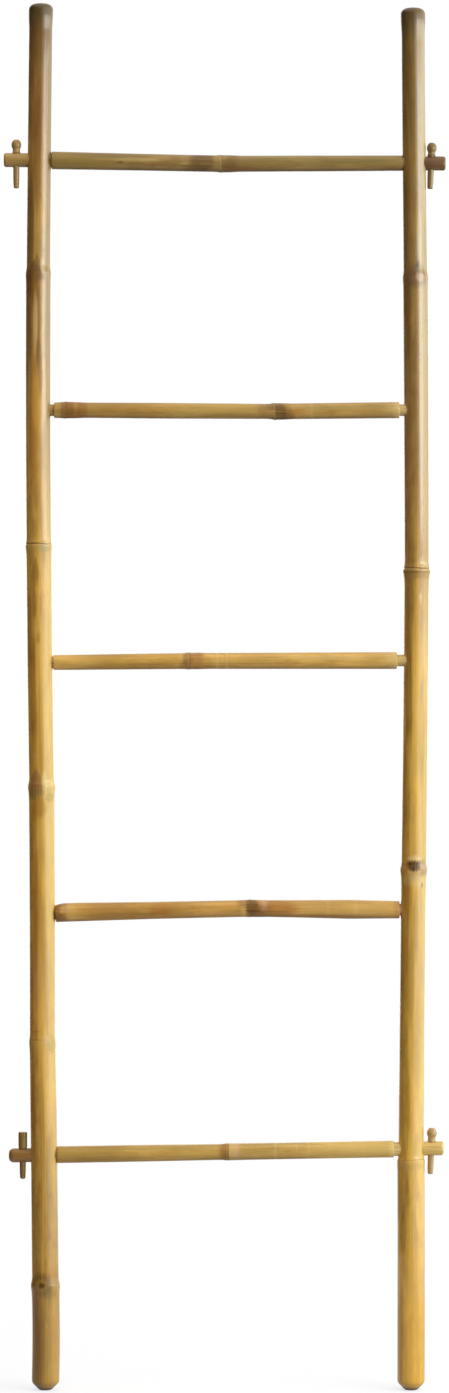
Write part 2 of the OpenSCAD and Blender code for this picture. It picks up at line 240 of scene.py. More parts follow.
def places_of(items, what):
    """Where a mesh's points ("co") or the middles of its faces ("center") are, in millimetres."""
    places = np.empty(len(items) * 3, np.float32)
    items.foreach_get(what, places)
    return places.reshape(-1, 3).astype(float) / mm


def smoothed(mesh):
    """Shades the mesh smooth, and keeps its corners of 50 degrees and more crisp."""
    mesh.polygons.foreach_set("use_smooth", np.ones(len(mesh.polygons), bool))
    mesh.set_sharp_from_angle(angle=math.radians(50))


def lay_field(mesh, name, values):
    """Stores one value, vector or colour for each point of the mesh, for the materials to read."""
    kinds = {1: ("FLOAT", "value"), 3: ("FLOAT_VECTOR", "vector"), 4: ("FLOAT_COLOR", "color")}
    kind, part = kinds[values.size // len(values)]
    field = mesh.attributes.new(name, kind, "POINT")
    field.data.foreach_set(part, np.ascontiguousarray(values, np.float32).ravel())


def linear(colour):
    """An sRGB hex colour as the linear values that Blender's sockets take."""
    parts = [int(colour[i:i + 2], 16) / 255 for i in (1, 3, 5)]
    return [p / 12.92 if p <= 0.04045 else ((p + 0.055) / 1.055) ** 2.4 for p in parts] + [1.0]


def marked(along, turn, radius, marks):
    """Colour and strength of the marks at each point. A mark is its place along, its turn in
    degrees, half its length, half its width, how much it narrows, its colour and its strength.
    It has a ragged edge, and later marks cover earlier ones."""
    colour, amount = np.zeros((len(along), 3)), np.zeros(len(along))
    for place, (at, side, half_long, half_wide, narrowing, shade, strength) in enumerate(marks):
        up = (along - at) / half_long
        off = wrapped(turn - math.radians(side)) * radius
        across = off / (half_wide * np.clip(1 - narrowing * up, 0.1, 2))
        ragged = 0.12 * np.sin(off * 1.9 + place) + 0.08 * np.sin(off * 4.3 + along * 0.21 + 2 * place)
        reach = np.clip(1.35 - np.hypot(up + ragged, across), 0, 0.6) / 0.6
        cover = strength * reach * reach * (3 - 2 * reach)
        left = amount * (1 - cover)
        colour = cover[:, None] * np.array(linear(shade)[:3]) + left[:, None] * colour
        amount = cover + left
        colour = colour / np.maximum(amount, 1e-6)[:, None]
    return np.column_stack([colour, amount])


def weathering(seed, specks, speck_span, speck_size, squat, stains, stain_span, half_long, half_wide, shades):
    """Marks for small dark specks, and for the long stains and pale runs that age leaves along the
    fibres. Spans, sizes, half lengths and half widths are the least and the most of each."""
    draw = np.random.default_rng(seed).uniform
    marks = [(draw(*speck_span), draw(-180, 180), size, size * squat, 0, "#6b4724", 0.6)
             for size in draw(*speck_size, specks)]
    return marks + [(draw(*stain_span), draw(-180, 180), draw(*half_long), draw(*half_wide), 0,
                     shades[place % len(shades)], draw(0.15, 0.4)) for place in range(stains)]


def add(tree, kind, inputs=None, **settings):
    """Adds a node to the tree with its settings, and a value or a link on each named input."""
    node = tree.nodes.new(kind)
    for name, value in settings.items():
        setattr(node, name, value)
    for name, value in (inputs or {}).items():
        if isinstance(value, bpy.types.NodeSocket):
            tree.links.new(value, node.inputs[name])
        else:
            node.inputs[name].default_value = value
    return node


def blank_material(name):
    """A new material, and its node tree with nothing in it yet."""
    material = bpy.data.materials.new(name)
    material.use_nodes = True
    material.node_tree.nodes.clear()
    return material, material.node_tree


def tone_by_height(tree, tones):
    """The bamboo's own colour, which changes from foot to top: heights in millimetres and colours."""
    rise = add(tree, "ShaderNodeAttribute", attribute_name="rise").outputs["Fac"]
    tone = add(tree, "ShaderNodeValToRGB", {"Fac": rise})
    ramp = tone.color_ramp
    while len(ramp.elements) < len(tones):
        ramp.elements.new(0.5)
    for element, (level, colour) in zip(ramp.elements, sorted(tones.items())):
        element.position, element.color = level / full_height, linear(colour)
    return tone.outputs["Color"]


def grown_skin(name, coat, coat_roughness, gloss, ripe, tones):
    """Varnished bamboo skin: silica-hard and smooth, so it throws crisp reflections over a soft glow.
    Fine fibres run along it and darken it in streaks, and it is paler under each scar line."""
    material, tree = blank_material(name)
    grain = add(tree, "ShaderNodeAttribute", attribute_name="grain").outputs["Vector"]
    over = add(tree, "ShaderNodeAttribute", attribute_name="over_scar").outputs["Fac"]
    mark = add(tree, "ShaderNodeAttribute", attribute_name="mark")
    tone = tone_by_height(tree, tones)
    # Repeats per metre across and along the fibres, and detail. Vascular bundles are 0.5 mm wide, too
    # fine to show here, so the streaks are 2 mm by 70 mm, over bands of 5 mm by 240 mm where the skin
    # ripened unevenly and clouds of 11 mm by 45 mm. Stains of 6 mm by 20 mm are where mould fed on the
    # sugar in the fresh skin, and fibres of 0.4 mm by 25 mm give its silky lengthwise relief.
    noise = {}
    for pattern, (across, along, detail) in {
        "streak": (430, 14, 3.0), "band": (190, 4.2, 1.0), "cloud": (90, 22, 4.0), "stain": (165, 50, 4.0),
        "fibre": (2500, 40, 2.0),
    }.items():
        place = add(tree, "ShaderNodeVectorMath", {
            0: grain, 1: (across, across, along),
        }, operation="MULTIPLY")
        noise[pattern] = add(tree, "ShaderNodeTexNoise", {
            "Vector": place.outputs[0], "Scale": 1.0, "Detail": detail,
        }).outputs["Fac"]
    band_amount = add(tree, "ShaderNodeMapRange", {
        "Value": noise["band"], "From Min": 0.4, "From Max": 0.68, "To Min": 0.0, "To Max": 0.26,
    })
    banded = add(tree, "ShaderNodeMix", {
        "Factor": band_amount.outputs[0], "A": tone, "B": linear(ripe),
    }, data_type="RGBA")
    streak_amount = add(tree, "ShaderNodeMapRange", {
        "Value": noise["streak"], "From Min": 0.47, "From Max": 0.78, "To Min": 0.0, "To Max": 0.2,
    })
    streaked = add(tree, "ShaderNodeMix", {
        "Factor": streak_amount.outputs[0], "A": banded.outputs["Result"], "B": linear("#865c22"),
    }, data_type="RGBA")
    stain_amount = add(tree, "ShaderNodeMapRange", {
        "Value": noise["stain"], "From Min": 0.5, "From Max": 0.68, "To Min": 0.0, "To Max": 0.48,
    })
    mottled = add(tree, "ShaderNodeMix", {
        "Factor": stain_amount.outputs[0], "A": streaked.outputs["Result"], "B": (0.76, 0.58, 0.46, 1),
    }, data_type="RGBA", blend_type="MULTIPLY")
    cloud_amount = add(tree, "ShaderNodeMapRange", {
        "Value": noise["cloud"], "From Min": 0.35, "From Max": 0.7, "To Min": 0.86, "To Max": 1.16,
    })
    thread = add(tree, "ShaderNodeMapRange", {
        "Value": noise["fibre"], "From Min": 0.3, "From Max": 0.7, "To Min": 0.9, "To Max": 1.08,
    })
    shading = add(tree, "ShaderNodeMath", {
        0: cloud_amount.outputs[0], 1: thread.outputs[0],
    }, operation="MULTIPLY")
    clouded = add(tree, "ShaderNodeVectorMath", {
        0: mottled.outputs["Result"], "Scale": shading.outputs[0],
    }, operation="SCALE")
    # A ring of pale bloom under the scar line, then the dark line of the scar itself
    bloom = add(tree, "ShaderNodeMapRange", {
        "Value": over, "From Min": -0.014, "From Max": -0.003, "To Min": 0.0, "To Max": 0.2,
    }, interpolation_type="SMOOTHSTEP")
    below = add(tree, "ShaderNodeMath", {0: over, 1: -0.0006}, operation="LESS_THAN")
    bloom_amount = add(tree, "ShaderNodeMath", {
        0: bloom.outputs[0], 1: below.outputs[0],
    }, operation="MULTIPLY")
    bloomed = add(tree, "ShaderNodeMix", {
        "Factor": bloom_amount.outputs[0], "A": clouded.outputs[0], "B": linear("#d9bd84"),
    }, data_type="RGBA")
    # The painted marks take half of their strength from the streaks, so they run with the fibres
    grip = add(tree, "ShaderNodeMath", {0: noise["streak"], 1: 1.5}, operation="MULTIPLY")
    hold = add(tree, "ShaderNodeMath", {
        0: mark.outputs["Alpha"], 1: grip.outputs[0],
    }, operation="MULTIPLY", use_clamp=True)
    spread = add(tree, "ShaderNodeMix", {
        "Factor": 0.5, "A": mark.outputs["Alpha"], "B": hold.outputs[0],
    }, data_type="FLOAT")
    # The marks' colours go over the skin: real stains, and the painted highlights, sheens and shade
    stained_and_painted_light = add(tree, "ShaderNodeMix", {
        "Factor": spread.outputs["Result"], "A": bloomed.outputs["Result"], "B": mark.outputs["Color"],
    }, data_type="RGBA")
    distance = add(tree, "ShaderNodeMath", {0: over}, operation="ABSOLUTE")
    line = add(tree, "ShaderNodeMapRange", {
        "Value": distance.outputs[0], "From Min": 0.0002, "From Max": 0.0008, "To Min": 1.0, "To Max": 0.0,
    })
    scar_depth = add(tree, "ShaderNodeAttribute", attribute_name="scar").outputs["Fac"]
    scar = add(tree, "ShaderNodeMath", {0: line.outputs[0], 1: scar_depth}, operation="MULTIPLY")
    scarred = add(tree, "ShaderNodeMix", {
        "Factor": scar.outputs[0], "A": stained_and_painted_light.outputs["Result"], "B": linear("#4f3f1e"),
    }, data_type="RGBA")
    roughness = add(tree, "ShaderNodeMapRange", {
        "Value": noise["cloud"], "From Min": 0.3, "From Max": 0.7, "To Min": 0.36, "To Max": 0.48,
    })
    relief = add(tree, "ShaderNodeBump", {"Height": noise["fibre"], "Strength": 0.25, "Distance": 0.00006})
    # The varnish hardly takes on the rough bud scars and stains, has worn thin along the old flanks, and is
    # as thin under the painted highlights, sheens and shade
    worn = add(tree, "ShaderNodeMapRange", {
        "Value": spread.outputs["Result"], "To Min": coat, "To Max": 0.3 * coat,
    })
    surface = add(tree, "ShaderNodeBsdfPrincipled", {
        "Base Color": scarred.outputs["Result"], "Roughness": roughness.outputs[0], "IOR": 1.5,
        "Specular IOR Level": gloss, "Normal": relief.outputs["Normal"],
        "Coat Weight": worn.outputs[0], "Coat Roughness": coat_roughness, "Coat IOR": 1.5,
    })
    add(tree, "ShaderNodeOutputMaterial", {"Surface": surface.outputs["BSDF"]})
    return material


def cut_grain(name, flesh, pore):
    """Bamboo cut across: dry and dull, with the dark dots of its vessels in pale flesh."""
    material, tree = blank_material(name)
    grain = add(tree, "ShaderNodeAttribute", attribute_name="grain").outputs["Vector"]
    # Vessels lie 0.8 mm apart and run through the wood, so their dots are stretched along it
    place = add(tree, "ShaderNodeVectorMath", {0: grain, 1: (1250, 1250, 60)}, operation="MULTIPLY")
    vessels = add(tree, "ShaderNodeTexVoronoi", {"Vector": place.outputs[0], "Scale": 1.0})
    dots = add(tree, "ShaderNodeMapRange", {
        "Value": vessels.outputs["Distance"], "From Min": 0.2, "From Max": 0.5, "To Min": 0.75, "To Max": 0.0,
    })
    colour = add(tree, "ShaderNodeMix", {
        "Factor": dots.outputs[0], "A": linear(flesh), "B": linear(pore),
    }, data_type="RGBA")
    relief = add(tree, "ShaderNodeBump", {
        "Height": vessels.outputs["Distance"], "Strength": 0.4, "Distance": 0.0002,
    })
    surface = add(tree, "ShaderNodeBsdfPrincipled", {
        "Base Color": colour.outputs["Result"], "Roughness": 0.7, "Normal": relief.outputs["Normal"],
    })
    add(tree, "ShaderNodeOutputMaterial", {"Surface": surface.outputs["BSDF"]})
    return material


culm_skin = {
    "left": grown_skin("varnished_culm_skin_left", 0.75, 0.08, 0.4, "#8f6224", {
        0: "#c69d37", 195: "#c49a49", 340: "#e1b155", 480: "#deac4d", 785: "#eebd55", 923: "#f8c25f",
        1060: "#e6b458", 1210: "#cca460", 1360: "#c89d4d", 1490: "#b38641", 1555: "#936f32", 1597: "#615831",
    }),
    "right": grown_skin("varnished_culm_skin_right", 0.9, 0.08, 0.4, "#8f6526", {
        0: "#efbf3d", 195: "#e3b650", 340: "#e0b551", 480: "#cb9d49", 785: "#eebf57", 923: "#c99c4d",
        1060: "#ba9152", 1210: "#ab874a", 1360: "#a48244", 1490: "#997838", 1555: "#826a34", 1592: "#605731",
    }),
}
culm_end = cut_grain("sawn_culm_end", "#a58a50", "#5a4a2a")

# The marks that the photographed side shows, and like ones on the sides it doesn't
culm_marks = {
    "left": [
        # The first two marks are painted light: pale strips down the front, where the light falls
        (620, 2, 400, 5.5, 0, "#ffce62", 0.5),
        (1180, 2, 180, 4.5, 0, "#dcae5a", 0.4),
        (560, -25, 60, 4, 0, "#b5782c", 0.5),
        (520, 10, 50, 3, 0, "#b88a3e", 0.5),
        (620, 30, 60, 3, 0, "#e8c878", 0.4),
        (460, 25, 40, 4, 0, "#c2954a", 0.5),
        (300, -5, 70, 3, 0, "#a8823c", 0.5),
        (240, 25, 50, 4, 0, "#9a7c3c", 0.4),
        (800, -30, 70, 3.5, 0, "#b87a2c", 0.5),
        (760, 5, 60, 2.5, 0, "#c09040", 0.5),
        (1040, 20, 60, 3, 0, "#b08a4c", 0.4),
        # The next two marks are painted: shade along the right flank past the highlight, where the varnish is
        # dull too, and a pale yellow sheen down the lower flank
        (1290, 60, 330, 6, 0, "#9c8860", 0.85),
        (640, 50, 400, 7, 0, "#e8cc7e", 0.6),
        (1130, -17, 230, 2.4, 0, "#e6b864", 0.5),
        (1200, -2, 90, 2.6, 0, "#8f6a34", 0.4),
        (1340, -40, 60, 4.5, 0, "#6d4a1e", 0.45),
        (1480, 4, 90, 2.4, 0, "#7a5a2c", 0.35),
        (860, 8, 120, 2.2, 0, "#f0c870", 0.35),
        (700, -4, 170, 1.6, 0, "#b98f45", 0.3),
        (1289, -18, 11, 12, 0.3, "#7a4d26", 0.8),
        (1300, -4, 10, 5, 0.6, "#7c5a30", 0.6),
        (1276, -40, 12, 8, 0, "#74491f", 0.5),
        # Painted highlight where the light bends round the bud patch
        (1297, 22, 9, 2.6, 0, "#efe0b4", 0.5),
        (1240, 6, 40, 2.2, 0, "#6f4a1e", 0.55),
        (1240, -40, 50, 4, 0, "#7a4f1d", 0.5),
        (1215, -62, 60, 4, 0, "#7a4f1d", 0.4),
        (1440, -8, 60, 5, 0, "#7a4a22", 0.4),
        (1560, 0, 22, 14, 0, "#6f4426", 0.35),
        (972, 30, 5, 8, 0, "#aba377", 0.5),
        (977, -6, 1.3, 8, 0, "#4b3c1a", 0.4),
        (945, -14, 14, 4, 0.4, "#9a6a24", 0.6),
        (912, -22, 20, 3, 0.3, "#a06c2a", 0.45),
        (905, 10, 14, 2, 0, "#b07c30", 0.3),
        (880, -52, 40, 4, 0, "#a0691f", 0.45),
        (868, -4, 5, 2.5, 0, "#a06b2c", 0.5),
        (702, -24, 15, 8.5, 0.6, "#a06f4a", 0.8),
        (688, -30, 6, 10, 0, "#978440", 0.5),
        (682, -14, 1.2, 11, 0, "#6b5228", 0.2),
        (672, -10, 10, 9, 0, "#b5762e", 0.5),
        # Painted highlight beside the bud patch
        (702, 16, 11, 3, 0, "#f6e2a6", 0.5),
        (405, -34, 0.8, 9, 0, "#7d5f2a", 0.35),
        (414, -30, 0.7, 9, 0, "#8a6a34", 0.35),
        (400, 44, 10, 5, 0, "#a79a58", 0.45),
        (404, 16, 6, 4, 0, "#e0b593", 0.35),
        (478, -22, 30, 8, 0, "#b9836c", 0.25),
        (330, -46, 50, 4, 0, "#8a6c34", 0.4),
        (123, -16, 13, 12, 0, "#6c5426", 0.75),
        (122, -17, 7, 6.6, 0, "#a5843e", 0.65),
        (112, 16, 6, 8, 0, "#7a6634", 0.45),
        (122, -13, 3.6, 3.4, 0, "#5a3a1c", 0.85),
        (121.5, -13, 1.7, 1.7, 0, "#24140b", 0.9),
        (70, -42, 46, 6, 0, "#8a6022", 0.5),
        (62, -10, 40, 4, 0, "#c99a50", 0.4),
        (100, -4, 18, 1.6, 0, "#7b5d28", 0.3),
        (48, -56, 66, 8, 0, "#86591a", 0.8),
        (56, -26, 60, 6, 0, "#845620", 0.6),
        (54, 42, 52, 8, 0, "#cfa560", 0.55),
        (55, 16, 30, 2.5, 0, "#9a7436", 0.35),
        (1.2, 0, 2.2, 90, 0, "#4d4327", 0.85),
        (1593, 0, 9, 90, 0, "#5c4a28", 0.65),
        (1230, -20, 50, 4, 0, "#c98a35", 0.45),
        (1150, -12, 60, 3.5, 0, "#d09238", 0.55),
        (1100, -27, 60, 4, 0, "#c58030", 0.45),
        (684, 42, 5, 6, 0, "#8f8a4a", 0.4),
        (1264, -14, 13, 4, 0, "#8a5a26", 0.6),
        (1228, -10, 36, 2.6, 0, "#f6d690", 0.6),
        (1196, 4, 16, 3, 0, "#7a4e26", 0.6),
        (1168, 14, 22, 2.6, 0, "#8d6236", 0.5),
        (1140, -10, 30, 5, 0, "#efb24c", 0.7),
        (1094, -16, 15, 4.4, 0, "#cc8c38", 0.55),
        (1064, -12, 12, 4, 0, "#cc8c3c", 0.5),
        (1032, -8, 16, 4, 0, "#b07c3a", 0.5),
        (1010, 12, 12, 4, 0, "#c89a58", 0.45),
        (996, -16, 10, 4, 0, "#b48038", 0.45),
        (407, 172, 10, 7, 0.7, "#6b452f", 0.8),
        (980, 165, 10, 7, 0.7, "#5c3f24", 0.8),
        (820, 150, 40, 6, 0, "#8a6230", 0.4),
        (1120, 120, 60, 4, 0, "#8a6230", 0.4),
        (300, 100, 40, 5, 0, "#8a6230", 0.35),
    ],
    "right": [
        # The first four marks are painted: a pale strip of light down the front, a pale yellow sheen down the
        # lower flank, shade along the flank past the highlight with the varnish dull there, and a highlight
        # on the top length's flank
        (590, 1, 370, 6, 0, "#ffce62", 0.5),
        (560, 50, 400, 7, 0, "#e8cc7e", 0.55),
        (1150, 58, 270, 7, 0, "#ae9658", 0.7),
        (1480, 57, 120, 6, 0, "#cdb98c", 0.6),
        (700, 58, 110, 7, 0, "#c8a456", 0.5),
        (760, 30, 60, 4, 0, "#9a7a3a", 0.4),
        (640, -5, 30, 3, 0, "#b8924a", 0.3),
        (540, 12, 40, 3, 0, "#b08f45", 0.5),
        (470, -10, 50, 4, 0, "#a8863e", 0.45),
        (400, 25, 60, 4, 0, "#c9a04c", 0.5),
        (330, -20, 40, 3, 0, "#a8802f", 0.5),
        (120, 20, 60, 3, 0, "#c99a44", 0.5),
        (1450, -17, 120, 2.4, 0, "#ab8345", 0.4),
        (1150, 3, 120, 3, 0, "#8a683a", 0.35),
        (1000, 12, 90, 2.2, 0, "#b59058", 0.4),
        (1295, 15, 11, 6, 0.8, "#867a66", 0.85),
        (1282, 20, 8, 8, 0.3, "#9a846a", 0.6),
        (1283, -30, 9, 9, 0, "#84573c", 0.6),
        (1292, -20, 8, 5, 0, "#8a6440", 0.4),
        (1240, -40, 50, 4, 0, "#7a4f1d", 0.4),
        (1500, -20, 50, 2.5, 0, "#5e3f18", 0.4),
        (941, 0, 4.5, 90, 0, "#ab8644", 0.7),
        (944, 0, 0.8, 90, 0, "#5f4719", 0.5),
        (955, 22, 6, 5, 0, "#f2dca4", 0.25),
        (915, 18, 5, 2.2, 0, "#f3e0a8", 0.6),
        (869, 0, 0.8, 12, 0, "#8a6534", 0.45),
        (864, 5, 0.7, 9, 0, "#8a6534", 0.3),
        (830, -42, 80, 4, 0, "#8a5624", 0.5),
        (790, -24, 50, 2, 0, "#8a5624", 0.35),
        (700, -55, 50, 4, 0, "#8a6028", 0.4),
        (614, 2, 2.2, 9, 0, "#f0dba8", 0.7),
        (604.6, 1, 6.2, 8.6, -0.3, "#4f3016", 0.95),
        (605.6, -8, 4.4, 6.2, -0.3, "#2c180c", 0.85),
        (594, 8, 5, 6.5, 0, "#c7ab80", 0.6),
        (603, 48, 9, 7, 0, "#a08262", 0.65),
        (603, -48, 7, 6, 0, "#a06c3c", 0.5),
        (588, 6, 6, 16, 0, "#e6cf96", 0.4),
        (583, 40, 1.8, 1.6, 0, "#6b4222", 0.8),
        (570, -30, 20, 5, 0, "#a8762f", 0.45),
        (259, 12, 4, 12, 0, "#b8954c", 0.3),
        (254, -24, 8, 6, 0, "#a48a50", 0.3),
        (225, -30, 28, 5, 0, "#8c6c34", 0.4),
        (184, -40, 24, 4, 0, "#7d6030", 0.4),
        (167, -15, 0.8, 11, 0, "#7d6030", 0.35),
        (60, -50, 50, 4, 0, "#8a6328", 0.4),
        (66, 14, 80, 13, 0, "#edb850", 0.5),
        (1.2, 0, 2.2, 90, 0, "#4d4327", 0.85),
        (1588, 0, 10, 90, 0, "#6b4f2a", 0.65),
        (1545, 26, 34, 5, 0, "#b08d58", 0.5),
        (1281, 2, 9, 13, 0, "#7d5a38", 0.5),
        (1298, 15, 4, 3.2, 0.6, "#5d5040", 0.7),
        (1284, 18, 5, 4.5, 0, "#c9b08c", 0.7),
        # Painted highlights: above the top joint, and a strip down the length under it
        (1330, 20, 30, 3.2, 0, "#f0dcae", 0.4),
        (1190, 24, 150, 3, 0, "#e8cf98", 0.35),
        (270, 188, 10, 7, 0.7, "#6b452f", 0.8),
        (952, 176, 10, 7, 0.7, "#5c3f24", 0.8),
        (700, 160, 60, 6, 0, "#8a6230", 0.4),
        (1120, 120, 60, 4, 0, "#8a6230", 0.4),
    ],
}

# Each rung's tenon line: its height midway between the stiles, how far it rises from the left stile
# to the right one, and how far it comes forward there
rung_lines = {
    "top": [1418, -3.4, 0],
    "upper": [1131, 0, 2.5],
    "middle": [840.8, 2.5, 2.5],
    "lower": [552.5, 3.4, 0],
    "bottom": [274.5, 7.2, 0],
}
# The long tenons of the top and bottom rungs pass through the stiles and are keyed with pegs outside
keyed_rungs = ("top", "bottom")
through_radius, socket_radius, running_fit = 8.2, 6.8, 0.05
# Half the culms' usual thickness, for the widths of the marks on them
culm_mean_radius = 15
# A bore starts this far inside the stile's middle and a through bore ends this far outside it, and a
# socket is this deep
bore_start, bore_end, socket_depth = 30, 40, 17
culm_corners = 112


def on_rung_line(rung, x):
    """The points of a rung's tenon line at given distances to the right of the ladder's middle."""
    height, rise, forward = rung_lines[rung]
    part = (x - stile_x["left"]) / stile_spacing
    zero = np.zeros(np.shape(part))
    return np.stack([x + zero, zero - forward * part, height + rise * (part - 0.5)], -1)


def meeting_height(side, rung):
    """The height at which a rung's tenon line meets a stile."""
    height, rise, _ = rung_lines[rung]
    return height + (rise / 2 if side == "right" else -rise / 2)


for side in ("left", "right"):
    joints = culm_joints[side]
    length = joints[-1, 0]
    foot, top = joints[0, 3] / 2, joints[-1, 3] / 2
    # Rings of points every 6.5 mm, close together over each joint, and every 2.5 mm at each bore
    close = np.array([
        -32, -28, -24, -21, -18, -16, -14, -12, -10.5, -9, -8, -7, -6, -5, -4, -3.3, -2.6, -1.9, -1.2,
        -0.9, -0.6, -0.3, 0, 0.3, 0.6, 1, 1.5, 2.2, 3, 4, 5, 6, 7, 8, 9, 10.5, 12, 14, 17, 20,
    ])
    levels = [np.arange(14, length - 30, 6.5)]
    for joint in joints[1:-1]:
        levels[0] = levels[0][np.abs(levels[0] - joint[0] + 6) > 28]
        levels.append(joint[0] + close)
    for rung in rung_lines:
        levels.append(meeting_height(side, rung) + np.arange(-10, 10.1, 2.5))
    heights = np.unique(np.round(np.concatenate(levels), 1))
    heights = heights[np.concatenate([[True], np.diff(heights) > 0.25])]
    turn = np.arange(culm_corners) * 2 * math.pi / culm_corners
    level, around = np.meshgrid(heights, turn, indexing="ij")
    wander = np.zeros(level.shape)
    for place, joint in enumerate(joints[1:-1]):
        off = level - joint[0]
        wander += scar_wander(side, place, around) * np.clip(1 - np.abs(off) / wander_reach, 0, 1)
    level = level + wander
    radius = culm_radius(side, level, around)
    rings = [np.stack([
        culm_middle(side, level) + radius * np.sin(around), -radius * np.cos(around), level,
    ], -1)]
    # Radius and height of the bevelled foot, up to the skin, and of the rounded top, from the skin up
    foot_shape = [[3, 0], [6, 0], [7, 0.15], [8.6, 1.4], [10.4, 3.1], [12.2, 4.9], [foot - 2.6, 6.1],
                  [foot - 1.5, 7.3], [foot - 0.7, 8.6], [foot - 0.3, 10], [foot - 0.1, 12]]
    top_shape = [[top - 0.55, length - 27], [top - 0.3, length - 22], [top - 0.1, length - 17],
                 [top - 0.1, length - 12]]
    top_shape += [[top - 7.1 + 7 * math.cos(a), length - 7 + 7 * math.sin(a)]
                  for a in np.radians([0, 12, 24, 36, 48, 60, 72, 84])]
    top_shape += [[top - 7.6, length], [top - 8.4, length - 0.15], [top - 9.4, length - 0.7],
                  [top - 10.5, length - 0.95], [2, length - 1.1]]
    for shape, at in ((foot_shape, 0), (top_shape, 2)):
        ends = [np.stack([
            culm_middle(side, np.array(z)) + r * np.sin(turn), -r * np.cos(turn), np.full(len(turn), z),
        ], -1) for r, z in shape]
        rings.insert(at, np.stack(ends))
    stile = ring_solid(f"{side}_stile_culm", np.concatenate(rings))
    outward = -1 if side == "left" else 1
    drills = []
    for rung, (height, _, _) in rung_lines.items():
        here = float(culm_middle(side, np.array(height)))
        hole, past_middle = through_radius, bore_end
        if rung not in keyed_rungs:
            hole = socket_radius
            past_middle = socket_depth - culm_radius(side, np.array([height]), np.zeros(1))[0]
        start = on_rung_line(rung, here - outward * bore_start)
        end = on_rung_line(rung, here + outward * past_middle)
        drills.append(drill(start, end, hole + running_fit))
    bore(stile, drills)
    mesh = stile.data
    points = places_of(mesh.vertices, "co")
    spot = points - np.column_stack([culm_middle(side, points[:, 2]), np.zeros((len(points), 2))])
    turn = np.arctan2(spot[:, 0], -spot[:, 1])
    over, nearest = over_scar(side, points[:, 2], turn)
    scar = np.array(scar_depths[side])[nearest] * (0.75 + 0.25 * np.sin(2.3 * turn + nearest))
    small = weathering(
        seed=11 + len(side), specks=40, speck_span=(20, length - 20), speck_size=(0.5, 1.6), squat=0.8,
        stains=90, stain_span=(0, length - 60), half_long=(14, 60), half_wide=(1.1, 2.6),
        shades=("#91601f", "#9a732d", "#efcb7c"),
    )
    lay_field(mesh, "grain", spot * mm)
    lay_field(mesh, "over_scar", over * mm)
    lay_field(mesh, "rise", points[:, 2] / full_height)
    lay_field(mesh, "scar", scar)
    lay_field(mesh, "mark", marked(points[:, 2], turn, culm_mean_radius, small + culm_marks[side]))
    mesh.materials.clear()
    mesh.materials.append(culm_skin[side])
    mesh.materials.append(culm_end)
    # Faces well under the skin are in the bores, and those at the foot and the top are sawn across
    middles = places_of(mesh.polygons, "center")
    at = middles[:, 2]
    off = np.hypot(middles[:, 0] - culm_middle(side, at), middles[:, 1])
    skin = culm_radius(side, at, np.zeros(len(at)))
    inside = (off < skin - 1.6) & (at > 14) & (at < length - 8)
    sawn = (at < 1.6) | (at > length - 0.2) | ((at > length - 2) & (off < top - 7))
    mesh.polygons.foreach_set("material_index", (inside | sawn).astype(np.int32))
    smoothed(mesh)
    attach(stile, "frame")
    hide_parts(f"{side}_stile")

# The rungs are thinner bamboo canes with their skin on. Past the cane's rounded shoulder the skin is
# shaved off to a round tenon: long ones pass through the stiles and are pegged, short ones sit in
# sockets, where the rung can still be turned by hand.
short_tenon_reach, short_tenon_round, shoulder_gap = 16, 1, 0.12
# Each at the left and the right end: how far the long tenons stand out of the stiles, how round
# their ends are, and how much bare tenon shows between a cane's shoulder and the stile
keyed_reach = {"top": (27.2, 22.2), "bottom": (25, 22.5)}
end_rounds = {"top": (2.5, 2.5), "bottom": (5.5, 2.5)}
bare_tenon = {"top": (0, 0), "upper": (3, 4.5), "middle": (0.4, 7), "lower": (0, 1), "bottom": (0, 5)}
# Each joint of a cane: distance from the left stile's line, height over the tenon line, ridge diameter
cane_joints = {
    "top": [[211.5, -2.4, 20.6]],
    "upper": [[32.5, 0.2, 19.8], [273.5, -1.5, 20]],
    "middle": [[174.5, 0.9, 20]],
    "lower": [[244.5, 3, 20.6]],
    "bottom": [[218.5, -0.1, 20]],
}
# Diameters at even steps along each length of a cane
cane_girths = {
    "top": [[20.6, 19.6, 19.2], [18.8, 18.5, 17.9]],
    "upper": [[18.2, 19], [17.9, 18.4, 17.6], [18.2, 19]],
    "middle": [[17.5, 18.2, 18.7], [18.7, 19.2, 19.8]],
    "lower": [[22.4, 19.9, 19.7], [19.4, 20.4, 22.2, 20.2]],
    "bottom": [[19.6, 19.4, 18.4], [19.4, 19.2, 19.6]],
}
# A joint's ridge, then the long swelling past its scar, as shares of the ridge against the distance
cane_outline = np.array([
    [-11, 0], [-7, 0.15], [-4.5, 0.5], [-2.4, 0.92], [-1.2, 1], [-0.4, 0.86], [0, 0.72], [0.5, 0.76],
    [1.6, 0.7], [4, 0.68], [8, 0.64], [12, 0.48], [17, 0.2], [22, 0],
])
# Half of what is worn off the top of a cane's left shoulder
worn_shoulder = {"lower": 1.5}
